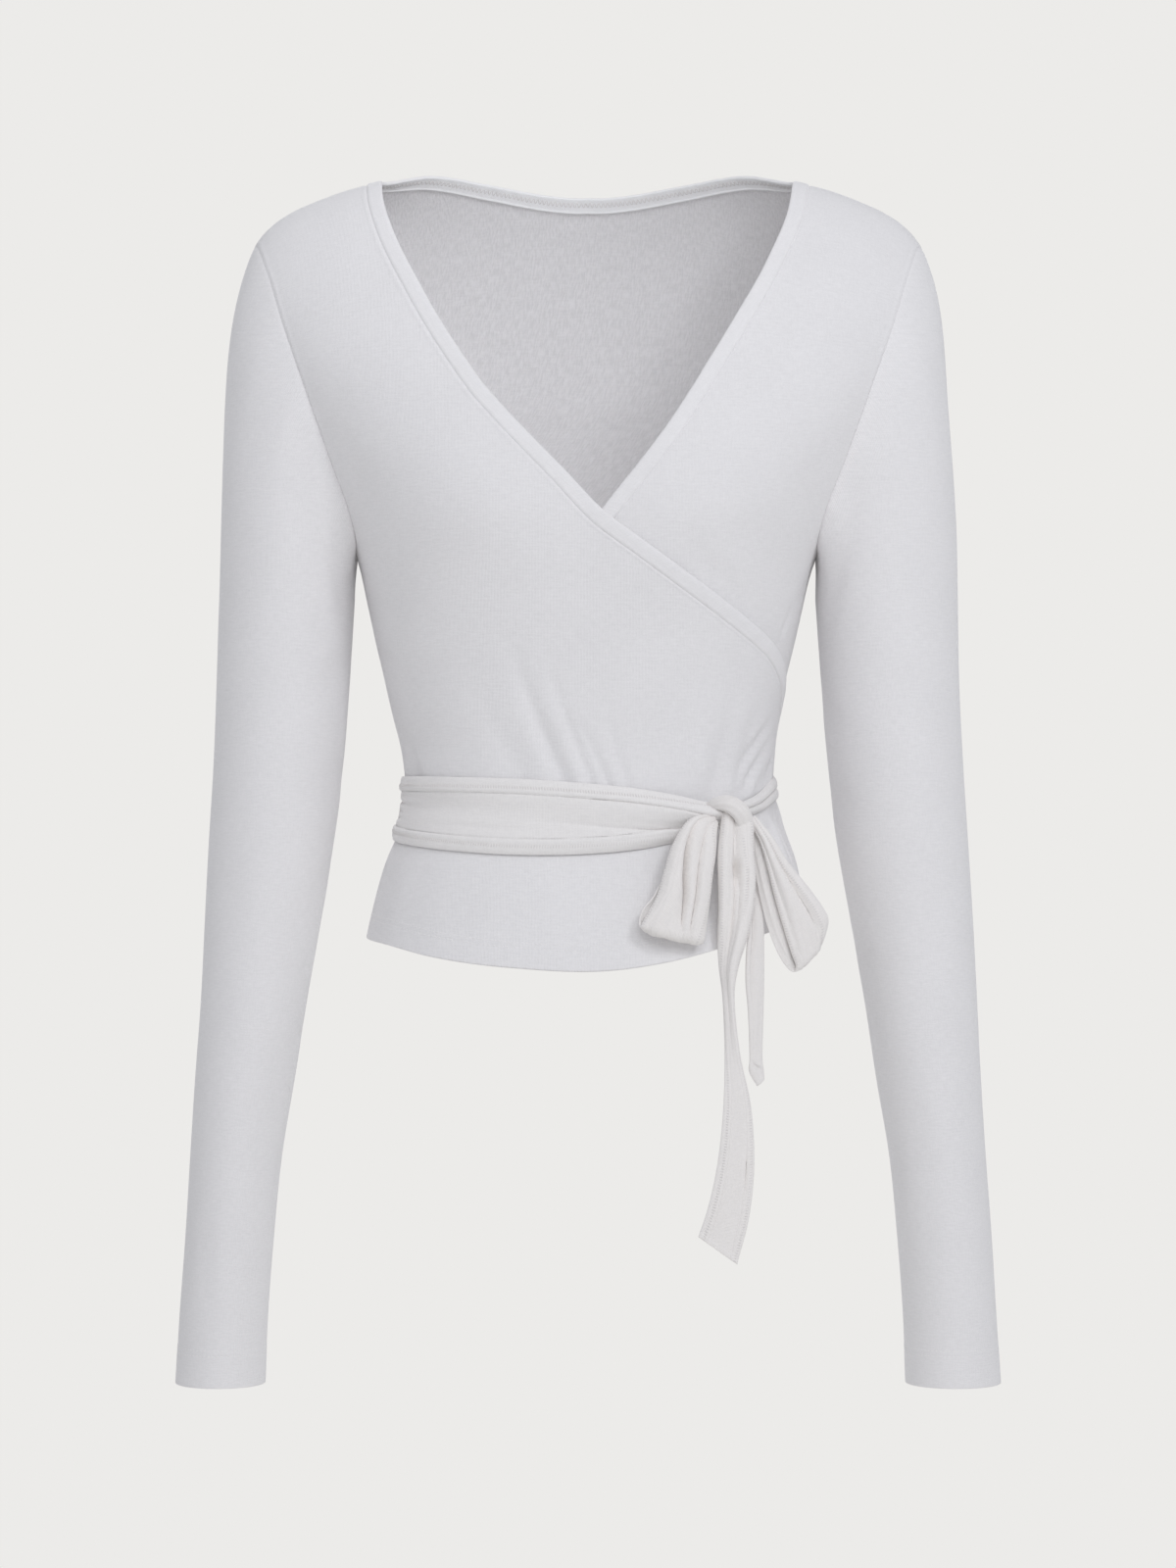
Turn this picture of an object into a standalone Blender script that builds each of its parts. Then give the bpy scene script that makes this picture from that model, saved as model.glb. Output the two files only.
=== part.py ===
"""Wrap top in jersey, in the form it has when worn.

Two fronts cross over each other, a sash goes round the waist and is tied in a bow at the
wearer's left.  +Z is up, the front faces -Y and +X is the wearer's left.  The origin lies
midway between the high points of the shoulders.  All the sizes below are millimetres, and
turns are degrees round the body: 0 is the centre front, 90 the wearer's left side seam and
180 the centre back.
"""
import bisect
import math

import bpy
import numpy as np

MM = 0.001
SMALL = 1e-6

# ---------------------------------------------------------------- making
CLOTH = 1.0  # wall of a single panel
SEAM = 0.3  # what two pieces leave between them where they are sewn
OVER_OUT = 1.0  # what the outer front stands out of the form at the centre front
UNDER_IN = 1.6  # what the under front lies inside the form there
BINDING = 8.5  # width of the neck binding
BINDING_PROUD = 0.3  # what the binding stands out of the cloth on each side
SASH_WALL = 1.4  # the sash is double at its edges and a little thicker
SASH_CLEAR = 1.6  # what the sash stands off the cloth under it
RIBBON_WALL = 1.2  # loops and tails of the bow

# ---------------------------------------------------------------- form of the body
BREAK = -120.0  # above this level the body rounds in towards the shoulder seam
TOP = 68.0  # level of the shoulder seam, where a quarter turn from BREAK ends
SEAM_BACK = 8.0  # the shoulder seam lies this far behind the side seams
FULLNESS = 0.25  # how far a section is squarer than an ellipse
LAYER_FADE = 60.0  # below the shoulder seam, the height in which the fronts part

# Half width at the sides, and depth to the front and to the back, from hem to shoulder.
# level, half_width, front_depth, back_depth
BODY = (
    (-446, 129.5, 104.0, 97.0),
    (-426, 124.3, 101.0, 93.0),
    (-405, 119.6, 97.5, 87.5),
    (-383, 113.3, 93.0, 81.0),
    (-362, 104.8, 89.0, 77.0),
    (-340, 102.3, 88.0, 75.0),
    (-320, 104.4, 89.0, 76.0),
    (-300, 109.3, 92.0, 79.0),
    (-280, 113.8, 95.5, 83.5),
    (-260, 118.6, 99.5, 87.5),
    (-240, 123.0, 104.0, 91.0),
    (-215, 128.6, 109.0, 95.0),
    (-190, 138.0, 111.5, 98.0),
    (-162, 152.0, 108.5, 99.5),
    (-120, 172.5, 97.0, 98.0),
    (-76, 190.0, 81.0, 93.0),
    (-26, 203.0, 70.0, 86.0),
    (68, 215.0, 62.0, 75.0),
)

# Height of the shoulder line at a distance from the middle.
# across, height
RIDGE = (
    (0, 24.0),
    (60, 17.5),
    (90, 9.0),
    (104, 4.0),
    (115.5, 0.0),
    (135, -5.0),
    (153, -11.6),
    (167, -18.0),
    (177, -24.8),
    (183.5, -31.4),
    (188, -38.0),
    (193, -47.0),
)

# Soft fullness of the front over the bust, on both sides.
BUST_OUT = 9.0
BUST_ACROSS = 72.0
BUST_LEVEL = -178.0
BUST_WIDE = 44.0
BUST_HIGH = 46.0

# ---------------------------------------------------------------- edges on the body
# Each edge runs through its rows of turn and level.

# Free edge of the outer front, from the shoulder down across the body to the hem.
OVER_EDGE = (
    (-32.7, 68),
    (-33.1, 11),
    (-32.2, -21),
    (-28.3, -68),
    (-22.4, -107),
    (-14.7, -139),
    (-5.2, -168),
    (3.6, -191),
    (13.4, -207),
    (26.8, -226),
    (45.9, -248.5),
    (62.4, -264),
    (75.5, -278),
    (91, -303),
    (100, -335),
    (103, -375),
    (103, -411),
)

# Free edge of the under front, the same cut the other way round.
UNDER_EDGE = (
    (32.7, 68),
    (32.6, 0),
    (30.1, -47),
    (25.1, -88.5),
    (19.9, -119),
    (15.1, -145),
    (7.5, -175),
    (-1.2, -201),
    (-12, -218),
    (-28, -238),
    (-50, -262),
    (-69, -286),
    (-81, -318),
    (-85, -360),
    (-85, -421),
)

# Front half of an armhole, for the wearer's left; the right one mirrors it.
ARMHOLE_FRONT = (
    (61.3, 68),
    (61.8, -31),
    (62.8, -72),
    (64.2, -107),
    (66.2, -138),
    (69.6, -165),
    (73.8, -187),
    (79.5, -203),
    (90.0, -213),
)

# Back half, with turns counted from the centre back.
ARMHOLE_BACK = (
    (61.3, 68),
    (63.8, -31),
    (66.1, -72),
    (68.2, -107),
    (70.0, -138),
    (72.5, -165),
    (76.5, -187),
    (81.5, -203),
    (90.0, -213),
)

# Back neck, from the wearer's left shoulder to the right, turns as on the whole body.
BACK_NECK = (
    (147.3, 68),
    (147.6, 61),
    (149.0, 52),
    (151.6, 44),
    (154.8, 35),
    (158.6, 23),
    (162.9, 11),
    (168.6, 0.5),
    (174.8, -6.5),
    (180.0, -9.0),
    (185.2, -6.5),
    (191.4, 0.5),
    (197.1, 11),
    (201.4, 23),
    (205.2, 35),
    (208.4, 44),
    (211.0, 52),
    (212.4, 61),
    (212.7, 68),
)

# Level of the hem.
# turn, level
HEM = (
    (-90, -424.5),
    (-60, -428.0),
    (-43, -433.0),
    (-20, -438.3),
    (5, -440.0),
    (20, -435.5),
    (35, -428.5),
    (60, -418.0),
    (90, -412.0),
    (110, -413.0),
    (145, -421.0),
    (180, -427.0),
    (220, -428.0),
    (270, -424.5),
)

# Folds of the outer front that run into the sash and the knot: soft ridges from their upper
# end to their lower end.
# top_x, top_z, bottom_x, bottom_z, half_width, height
FOLDS = (
    (-47, -262, -14, -338, 7.0, 2.4),
    (-26, -280, 2, -338, 6.0, 3.0),
    (-4, -300, 13, -340, 5.0, 2.6),
    (26, -282, 34, -342, 7.0, 2.4),
    (72, -268, 62, -344, 7.0, 2.8),
    (91, -276, 74, -348, 6.0, 3.2),
    (103, -300, 84, -348, 5.0, 3.0),
)

# ---------------------------------------------------------------- sash
# Upper and lower edge round the body; swell is how far its folds stand out.
# turn, top, bottom, swell
SASH_FRONT = (
    (-90, -334.5, -370.0, 0.0),
    (-60, -334.5, -373.5, 0.4),
    (-40, -335.0, -376.0, 0.8),
    (-20, -336.0, -377.8, 1.4),
    (0, -338.5, -377.2, 2.4),
    (14, -341.0, -374.8, 3.6),
    (27, -345.0, -370.5, 5.0),
    (36, -350.0, -364.5, 5.4),
    (42, -353.0, -361.0, 4.6),
)
SASH_LEFT = (
    (51, -349.5, -357.5, 3.0),
    (64, -344.0, -354.5, 3.0),
    (76, -337.5, -349.0, 1.6),
    (90, -334.5, -346.5, 0.6),
    (104, -333.5, -352.0, 0.2),
)
SASH_BACK = (
    (104, -333.5, -352.0, 0.2),
    (125, -333.0, -364.5, 0.0),
    (150, -333.0, -372.5, 0.0),
    (180, -333.0, -374.5, 0.0),
    (225, -334.0, -373.5, 0.0),
    (270, -334.5, -370.0, 0.0),
)

# ---------------------------------------------------------------- sleeves
# Sections of the sleeves, level by level, from upper arm to cuff.
# level, right_outer, right_inner, left_outer, left_inner, front_y, back_y
SLEEVE = (
    (-672.5, 230.8, 180.3, 229.8, 175.9, -52.0, 14.0),
    (-635, 228.6, 178.9, 227.5, 175.0, -51.5, 18.0),
    (-591, 225.5, 175.7, 225.0, 171.9, -51.0, 22.0),
    (-547, 223.0, 171.5, 221.9, 167.6, -50.5, 26.0),
    (-503, 220.4, 164.4, 219.3, 160.1, -50.0, 30.0),
    (-459, 217.3, 157.5, 217.3, 153.6, -49.0, 34.5),
    (-415, 215.2, 149.9, 215.2, 146.0, -48.0, 38.5),
    (-371, 213.1, 142.8, 212.6, 137.9, -48.5, 41.5),
    (-327, 210.5, 137.4, 209.9, 134.1, -49.0, 44.0),
    (-283, 208.9, 134.1, 207.8, 130.9, -49.5, 46.0),
    (-236, 207.8, 131.2, 207.2, 127.9, -50.0, 48.0),
)

# How the sleeve leaves the armhole: from the shoulder tip (0) to the underarm (1).
# place, outward, down
SLEEVE_START = (
    (0.0, 0.40, 0.92),
    (0.35, 0.62, 0.78),
    (0.65, 0.62, 0.78),
    (0.88, 0.40, 0.92),
    (1.0, 0.16, 0.98),
)

# ---------------------------------------------------------------- bow
# A ribbon runs through its rows, from one edge to the other.
# left_x, left_y, left_z, right_x, right_y, right_z, pleat
LOOP_LEFT = (
    (68.8, -89.0, -354.5, 71.8, -88.5, -361.0, 0.4),
    (55.1, -101, -356.4, 69.7, -94, -374.8, 2),
    (46.2, -112, -372.2, 67.7, -99, -389.3, 3.6),
    (37.4, -121, -391.8, 65.6, -104, -406.6, 3.8),
    (29.7, -125, -408.9, 63.6, -109, -421.4, 2.2),
    (28.3, -121, -414.3, 62.6, -110, -426.7, 1),
    (30.3, -116, -414.5, 62.2, -107, -426.7, 0.6),
    (34.6, -113.5, -407.3, 61.3, -104, -420.1, 0.6),
    (41.4, -108.5, -393.9, 61.8, -101, -402.8, 0.5),
    (49.2, -104, -376.6, 63.9, -97, -384.5, 0.4),
)
LOOP_RIGHT = (
    (88.6, -78.0, -362.5, 91.8, -75.5, -356.0, 0.4),
    (92.4, -82, -379.8, 102.5, -72, -371.2, 2),
    (95.7, -86, -396.3, 111.2, -74, -386.3, 3.2),
    (100.9, -88, -413.7, 120.4, -76, -399.4, 3.2),
    (107.7, -88, -431.2, 128.6, -77, -412.6, 1.8),
    (113.2, -84, -440.1, 130.7, -73, -418, 0.8),
    (112.9, -79, -439.3, 129, -68, -415.7, 0.4),
    (108.7, -74.5, -427.7, 123.4, -63, -406.5, 0.4),
    (103.9, -72.5, -413.2, 116.1, -60.5, -395.8, 0.4),
    (98.6, -71.5, -397.6, 108.3, -58.5, -383.1, 0.4),
)
TAIL_LONG = (
    (73.8, -89.0, -355.0, 88.8, -81.0, -359.0, 1.8),
    (71.6, -97, -379.6, 91.3, -87, -379.8, 2.4),
    (70.7, -101.5, -397, 90.6, -92, -397.2, 2.4),
    (70.5, -104.5, -413.3, 87.6, -97, -413.5, 2.2),
    (70, -105.5, -429.7, 83.6, -101, -429.8, 1.8),
    (71.7, -105, -445.1, 79.7, -103, -445.2, 0.8),
    (74.2, -103.5, -460.6, 80, -101.5, -460.7, 0.5),
    (74.2, -101.5, -487.8, 84.1, -98.5, -487.9, 0.6),
    (72.9, -101.5, -519.7, 89.8, -97.5, -519.9, 1),
    (68.6, -102.5, -550.5, 90.2, -98, -550.8, 1.4),
    (64.2, -103, -571.7, 86.1, -99, -577.8, 1.4),
    (59.7, -103, -584.3, 80.8, -100, -599.5, 1),
)
TAIL_SHORT = (
    (83.5, -78.5, -366.0, 89.5, -75.5, -366.0, 0.4),
    (84.5, -83.0, -385.0, 92.0, -79.0, -385.0, 0.6),
    (86.0, -88.0, -402.0, 94.3, -83.5, -402.0, 0.6),
    (87.3, -91.0, -415.6, 95.5, -86.0, -415.7, 0.6),
    (86, -94.5, -431, 95.7, -89.5, -431.2, 0.6),
    (85.7, -96, -446.4, 95.6, -92, -446.6, 0.6),
    (87.1, -96.5, -463.8, 95.2, -93, -464, 0.6),
    (87.9, -96.5, -487.1, 94.6, -93.5, -487.2, 0.5),
    (87.6, -96.5, -494.8, 95.3, -93.5, -494, 1.2),
    (92, -96, -503.1, 95.5, -94.5, -499.8, 0.6),
)

# The turn of sash over the knot: a rounded band along its path.
# x, y, z, across, deep
KNOT = (
    (66.9, -85.5, -350.2, 1.4, 1.6),
    (71.7, -86.5, -348.3, 3.2, 4.0),
    (77.6, -84.5, -347.9, 4.4, 5.2),
    (83.0, -81.5, -349.6, 4.8, 5.4),
    (87.4, -77.6, -352.2, 3.8, 4.8),
)

# ---------------------------------------------------------------- counts of faces
SIDE_ROWS = 11
ARM_ROWS = 12
OVER_COLUMNS = 28
UNDER_COLUMNS = 20
SHOULDER_COLUMNS = 5
NECK_COLUMNS = 16
SLEEVE_SIDES = 2 * ARM_ROWS
CAP_RINGS = 8
ARM_RINGS = 12

# ---------------------------------------------------------------- colours
JERSEY = (0.80, 0.80, 0.83)
JERSEY_LIGHT = (0.85, 0.84, 0.85)
ROUGHNESS = 0.85


class Line:
    """A smooth line through the rows of a table: the first column in, the others out."""

    def __init__(self, rows):
        self.places = [row[0] for row in rows]
        self.values = np.array([row[1:] for row in rows], dtype=float)
        self.slopes = np.gradient(self.values, self.places, axis=0)

    def __call__(self, place):
        place = min(max(place, self.places[0]), self.places[-1])
        low = bisect.bisect_right(self.places, place) - 1
        low = min(max(low, 0), len(self.places) - 2)
        span = self.places[low + 1] - self.places[low]
        part = (place - self.places[low]) / span
        square = part * part
        cube = square * part
        return (
            (2 * cube - 3 * square + 1) * self.values[low]
            + (cube - 2 * square + part) * span * self.slopes[low]
            + (3 * square - 2 * cube) * self.values[low + 1]
            + (cube - square) * span * self.slopes[low + 1]
        )


BODY_LINE = Line(BODY)
RIDGE_LINE = Line(RIDGE)
HEM_LINE = Line(HEM)
SLEEVE_LINE = Line(SLEEVE)


def unit(vector):
    return vector / np.linalg.norm(vector)


def skin(turn, level):
    """The point of the body's form at a turn and a level."""
    half, front, back = BODY_LINE(level)
    across = math.sin(math.radians(turn))
    ahead = math.cos(math.radians(turn))
    x = half * across
    lean = max(0.0, level - BREAK) / (TOP - BREAK) * math.pi / 2
    if level > BREAK:
        height = BREAK + (RIDGE_LINE(abs(x))[0] - BREAK) * math.sin(lean)
    else:
        height = level
    depth = front if ahead > 0 else back
    y = SEAM_BACK * math.sin(lean) - depth * math.cos(lean) * ahead * (1 + FULLNESS * across**2)
    if ahead > 0:
        beside = (abs(x) - BUST_ACROSS) / BUST_WIDE
        above = (height - BUST_LEVEL) / BUST_HIGH
        y -= BUST_OUT * ahead * math.cos(lean) * math.exp(-(beside**2) - above**2)
    return np.array((x, y, height))


def slopes(turn, level):
    """How the form moves for one degree of turn and for one millimetre of level."""
    by_turn = skin(turn + 0.5, level) - skin(turn - 0.5, level)
    by_level = skin(turn, level + 0.5) - skin(turn, level - 0.5)
    return by_turn, by_level


def normal(turn, level):
    by_turn, by_level = slopes(turn, level)
    return unit(np.cross(by_turn, by_level))


def on_body(turn, level, out):
    """A point that lies out millimetres outside the form."""
    return skin(turn, level) + out * normal(turn, level)


def moved(turn, level, step):
    """The turn and level that lie a step (a vector along the form) away."""
    columns = np.column_stack(slopes(turn, level))
    change = np.linalg.lstsq(columns, step, rcond=None)[0]
    return turn + change[0], level + change[1]


class Edge:
    """A line on the form through rows of turn and level, run by its own length."""

    def __init__(self, rows):
        points = [skin(turn, level) for turn, level in rows]
        steps = [np.linalg.norm(b - a) for a, b in zip(points, points[1:])]
        places = np.concatenate(([0.0], np.cumsum(steps)))
        self.length = places[-1]
        self.line = Line([(place, *row) for place, row in zip(places, rows)])

    def at(self, part):
        return tuple(self.line(part * self.length))

    def inset(self, part, width):
        """The place beside the edge, to its left for a width over 0, seen from outside."""
        turn, level = self.at(part)
        before = skin(*self.at(max(part - 0.004, 0.0)))
        after = skin(*self.at(min(part + 0.004, 1.0)))
        aside = unit(np.cross(normal(turn, level), after - before))
        return moved(turn, level, width * aside)


def mirror_rows(rows):
    return tuple((-turn, level) for turn, level in rows)


def from_back(rows, side):
    """Rows with turns counted from the centre back, as turns on the whole body."""
    return tuple((180 - side * turn, level) for turn, level in rows)


OVER = Edge(OVER_EDGE)
UNDER = Edge(UNDER_EDGE)
NECK = Edge(BACK_NECK)


# ---------------------------------------------------------------- meshes
def add_object(name, points, faces, colour):
    """One closed body from points in millimetres, with its faces pointing out."""
    corners = np.array(points) * MM
    volume = 0.0
    for face in faces:
        first = corners[face[0]]
        for second, third in zip(face[1:], face[2:]):
            volume += np.dot(first, np.cross(corners[second], corners[third]))
    if volume < 0:
        faces = [(face[0], *reversed(face[1:])) for face in faces]
    mesh = bpy.data.meshes.new(name)
    mesh.from_pydata(corners.tolist(), [], faces)
    mesh.shade_smooth()
    mesh.set_sharp_from_angle(angle=math.radians(50))
    material = bpy.data.materials.new(name)
    material.use_nodes = True
    shader = material.node_tree.nodes["Principled BSDF"]
    shader.inputs["Base Color"].default_value = (*colour, 1)
    shader.inputs["Roughness"].default_value = ROUGHNESS
    shader.inputs["Metallic"].default_value = 0.0
    mesh.materials.append(material)
    made = bpy.data.objects.new(name, mesh)
    bpy.context.scene.collection.objects.link(made)
    return made


def wall(name, outer, inner, colour, tube=False):
    """A wall between two grids of points, closed at its edges; a tube joins its columns."""
    rows, columns = len(outer), len(outer[0])
    points = [point for row in outer for point in row]
    points += [point for row in inner for point in row]
    behind = rows * columns

    def corner(row, column):
        return row * columns + column % columns

    faces = []
    for row in range(rows - 1):
        for column in range(columns if tube else columns - 1):
            a = corner(row, column)
            b = corner(row, column + 1)
            c = corner(row + 1, column + 1)
            d = corner(row + 1, column)
            faces.append((a, b, c, d))
            faces.append((a + behind, d + behind, c + behind, b + behind))
    for row, turned in ((0, False), (rows - 1, True)):
        for column in range(columns if tube else columns - 1):
            a = corner(row, column)
            b = corner(row, column + 1)
            face = (a, a + behind, b + behind, b)
            faces.append(face[::-1] if turned else face)
    if not tube:
        for column, turned in ((0, True), (columns - 1, False)):
            for row in range(rows - 1):
                a = corner(row, column)
                d = corner(row + 1, column)
                face = (a, a + behind, d + behind, d)
                faces.append(face[::-1] if turned else face)
    return add_object(name, points, faces, colour)


def grid_normals(grid, tube=False):
    """Normals of a grid of points, from how its rows and columns run."""
    points = np.array(grid)
    along = np.gradient(points, axis=0)
    if tube:
        across = np.roll(points, -1, axis=1) - np.roll(points, 1, axis=1)
    else:
        across = np.gradient(points, axis=1)
    facing = np.cross(across, along)
    return facing / np.linalg.norm(facing, axis=2, keepdims=True)


# ---------------------------------------------------------------- body panels
def over_layer(turn, level):
    """How far outside the form the outer front's face lies: nothing at its own side seam."""
    fade = min(1.0, (TOP - level) / LAYER_FADE)
    return OVER_OUT * (1 + turn / 90.0) * fade


def under_layer(turn, level):
    """How far outside the form the under front's face lies: nothing at its own side seam."""
    fade = min(1.0, (TOP - level) / LAYER_FADE)
    return UNDER_IN * (turn / 90.0 - 1) * fade


def fold_height(x, z):
    """How far the folds lift the outer front at a point seen from the front."""
    lift = 0.0
    for top_x, top_z, bottom_x, bottom_z, half_width, height in FOLDS:
        run = np.array((bottom_x - top_x, bottom_z - top_z))
        length = np.linalg.norm(run)
        run = run / length
        along = (x - top_x) * run[0] + (z - top_z) * run[1]
        beside = (x - top_x) * run[1] - (z - top_z) * run[0]
        part = along / length
        if 0 < part < 1.15:
            rise = math.sin(math.pi * min(part, 1.15) / 1.15) ** 2
            lift += height * rise * math.exp(-((beside / half_width) ** 2))
    return lift


def over_point(turn, level):
    out = over_layer(turn, level)
    if -40 < turn < 90 and -350 < level < -255:
        place = skin(turn, level)
        out += fold_height(place[0], place[2])
    return out


def panel(name, left_at, right_at, top_at, parts, columns, out_at, colour):
    """A body panel between two edges; parts are the places of its rows, from hem to top."""
    outer = []
    inner = []
    for part in parts:
        left = left_at(part)
        right = right_at(part)
        hem_share = max(0.0, 1 - part / 0.5) ** 2
        outer_row = []
        inner_row = []
        for column in range(columns + 1):
            share = column / columns
            turn = left[0] + (right[0] - left[0]) * share
            level = left[1] + (right[1] - left[1]) * share
            if hem_share > 0:
                low_left = left_at(0.0)
                low_right = right_at(0.0)
                low_turn = low_left[0] + (low_right[0] - low_left[0]) * share
                straight = low_left[1] + (low_right[1] - low_left[1]) * share
                level += hem_share * (HEM_LINE(low_turn)[0] - straight)
            if top_at is not None and part > 0.5:
                rise = ((part - 0.5) / 0.5) ** 2
                high_left = left_at(1.0)
                high_right = right_at(1.0)
                high = top_at(share)
                turn += rise * (high[0] - high_left[0] - (high_right[0] - high_left[0]) * share)
                level += rise * (high[1] - high_left[1] - (high_right[1] - high_left[1]) * share)
            out = out_at(turn, level)
            outer_row.append(on_body(turn, level, out))
            inner_row.append(on_body(turn, level, out - CLOTH))
        outer.append(outer_row)
        inner.append(inner_row)
    return wall(name, outer, inner, colour)


def row_places():
    """Places of a panel's rows: the side seam takes the lower half, the armhole the rest."""
    lower = [0.5 * row / SIDE_ROWS for row in range(SIDE_ROWS)]
    upper = [0.5 + 0.5 * row / ARM_ROWS for row in range(ARM_ROWS + 1)]
    return lower + upper


def side_edge(side, back):
    """The edge of a panel along the side seam and the armhole, from hem to shoulder.

    side is 1 for the wearer's left.  The panel keeps half a seam away from its neighbour.
    """
    if back:
        arm = Edge(from_back(ARMHOLE_BACK, side))
        seam_turn = 180 - side * 90
        toward = 1 if side > 0 else -1
    else:
        arm = Edge(ARMHOLE_FRONT if side > 0 else mirror_rows(ARMHOLE_FRONT))
        seam_turn = side * 90
        toward = -side

    def at(part):
        if part <= 0.5:
            turn = seam_turn
            hem = HEM_LINE(turn)[0]
            level = hem + (ARMHOLE_FRONT[-1][1] - hem) * part / 0.5
        else:
            turn, level = arm.at(1 - (part - 0.5) / 0.5)
        by_turn, by_level = slopes(turn, level)
        turn += toward * SEAM / 2 / np.linalg.norm(by_turn)
        level = min(level, TOP - SEAM / 2 / np.linalg.norm(by_level))
        return turn, level

    return at


def free_edge(edge, width):
    """The edge of a front along its free edge, width inside it, from hem to shoulder."""

    def at(part):
        turn, level = edge.inset(1 - part, width)
        by_level = slopes(turn, level)[1]
        limit = TOP - SEAM / 2 / np.linalg.norm(by_level)
        if part == 1:
            return turn, limit
        return turn, min(level, limit)

    return at


def back_top(share):
    """The top of the back: shoulder seam, neck edge below its binding, shoulder seam."""
    turns = (180 - ARMHOLE_BACK[0][0], 180 + ARMHOLE_BACK[0][0])
    shoulder = SHOULDER_COLUMNS / (2 * SHOULDER_COLUMNS + NECK_COLUMNS)
    if shoulder < share + SMALL and share - SMALL < 1 - shoulder:
        part = (share - shoulder) / (1 - 2 * shoulder)
        at_end = part < SMALL or part > 1 - SMALL
        turn, level = NECK.inset(min(max(part, 0.0), 1.0), -(BINDING + SEAM))
        if at_end:
            level = TOP
    else:
        left = share < shoulder
        start = turns[0] if left else turns[1]
        stop = NECK.inset(0.0 if left else 1.0, -(BINDING + SEAM))[0]
        part = share / shoulder if left else (1 - share) / shoulder
        turn = start + (stop - start) * part
        level = TOP
    by_level = slopes(turn, level)[1]
    limit = TOP - SEAM / 2 / np.linalg.norm(by_level)
    return turn, min(level, limit)


def make_body():
    places = row_places()
    panel(
        "front_right",
        side_edge(-1, back=False),
        free_edge(OVER, -(BINDING + SEAM)),
        None,
        places,
        OVER_COLUMNS,
        over_point,
        JERSEY,
    )
    panel(
        "front_left",
        side_edge(1, back=False),
        free_edge(UNDER, BINDING + SEAM),
        None,
        places,
        UNDER_COLUMNS,
        under_layer,
        JERSEY,
    )
    panel(
        "back",
        side_edge(1, back=True),
        side_edge(-1, back=True),
        back_top,
        places,
        2 * SHOULDER_COLUMNS + NECK_COLUMNS,
        lambda turn, level: 0.0,
        JERSEY,
    )


# ---------------------------------------------------------------- neck binding
def binding(name, edge, inward, out_at, places, shoulders):
    """A strip along a free edge, with its corners at the same places as the cloth beside it.

    inward is the side of the edge that the cloth is on, and shoulders are the places where
    the strip ends on the shoulder seam.
    """
    outer = []
    inner = []
    for part in places:
        outer_row = []
        inner_row = []
        for share in (0.0, 0.5, 1.0):
            turn, level = edge.inset(part, inward * BINDING * share)
            by_level = slopes(turn, level)[1]
            limit = TOP - SEAM / 2 / np.linalg.norm(by_level)
            level = limit if part in shoulders else min(level, limit)
            out = out_at(turn, level)
            proud = BINDING_PROUD * (1.0 if share != 0.5 else 1.6)
            outer_row.append(on_body(turn, level, out + proud))
            inner_row.append(on_body(turn, level, out - CLOTH - BINDING_PROUD))
        outer.append(outer_row)
        inner.append(inner_row)
    wall(name, outer, inner, JERSEY_LIGHT)


def make_bindings():
    down = [1 - place for place in reversed(row_places())]
    across = [place / NECK_COLUMNS for place in range(NECK_COLUMNS + 1)]
    binding("binding_right", OVER, -1, over_layer, down, (0,))
    binding("binding_left", UNDER, 1, under_layer, down, (0,))
    binding("binding_back", NECK, -1, lambda turn, level: 0.0, across, (0, 1))


# ---------------------------------------------------------------- sash
def sash_base(turn):
    """How far outside the form the cloth under the sash reaches."""
    if turn <= 103:
        return OVER_OUT * (1 + turn / 90.0)
    return OVER_OUT * (1 + 103 / 90.0) * max(0.0, 1 - (turn - 103) / 22.0)


def sash(name, table, columns, rows, start_gap, stop_gap):
    line = Line(table)
    first = table[0][0] + start_gap
    last = table[-1][0] - stop_gap
    outer = []
    inner = []
    for row in range(rows + 1):
        part = row / rows
        outer_row = []
        inner_row = []
        for column in range(columns + 1):
            turn = first + (last - first) * column / columns
            top, bottom, swell = line(turn)
            level = bottom + (top - bottom) * part
            bulge = swell * abs(math.sin(2 * math.pi * part))
            out = sash_base(turn) + SASH_CLEAR + 0.2 * swell
            inner_row.append(on_body(turn, level, out))
            outer_row.append(on_body(turn, level, out + SASH_WALL + bulge))
        outer.append(outer_row)
        inner.append(inner_row)
    wall(name, outer, inner, JERSEY_LIGHT)


def make_sash():
    sash("sash_front", SASH_FRONT, 26, 6, 0.1, 0.0)
    sash("sash_left", SASH_LEFT, 9, 4, 0.0, 0.1)
    sash("sash_back", SASH_BACK, 20, 2, 0.1, 0.1)


# ---------------------------------------------------------------- sleeves
def armhole_place(place, side):
    """Turn and level on the armhole: 0 the tip, 1 the underarm, 2 the tip again."""
    if place <= 1:
        return ARM_EDGES[(side, False)].at(place)
    return ARM_EDGES[(side, True)].at(2 - place)


ARM_EDGES = {
    (1, False): Edge(ARMHOLE_FRONT),
    (-1, False): Edge(mirror_rows(ARMHOLE_FRONT)),
    (1, True): Edge(from_back(ARMHOLE_BACK, 1)),
    (-1, True): Edge(from_back(ARMHOLE_BACK, -1)),
}


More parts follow.
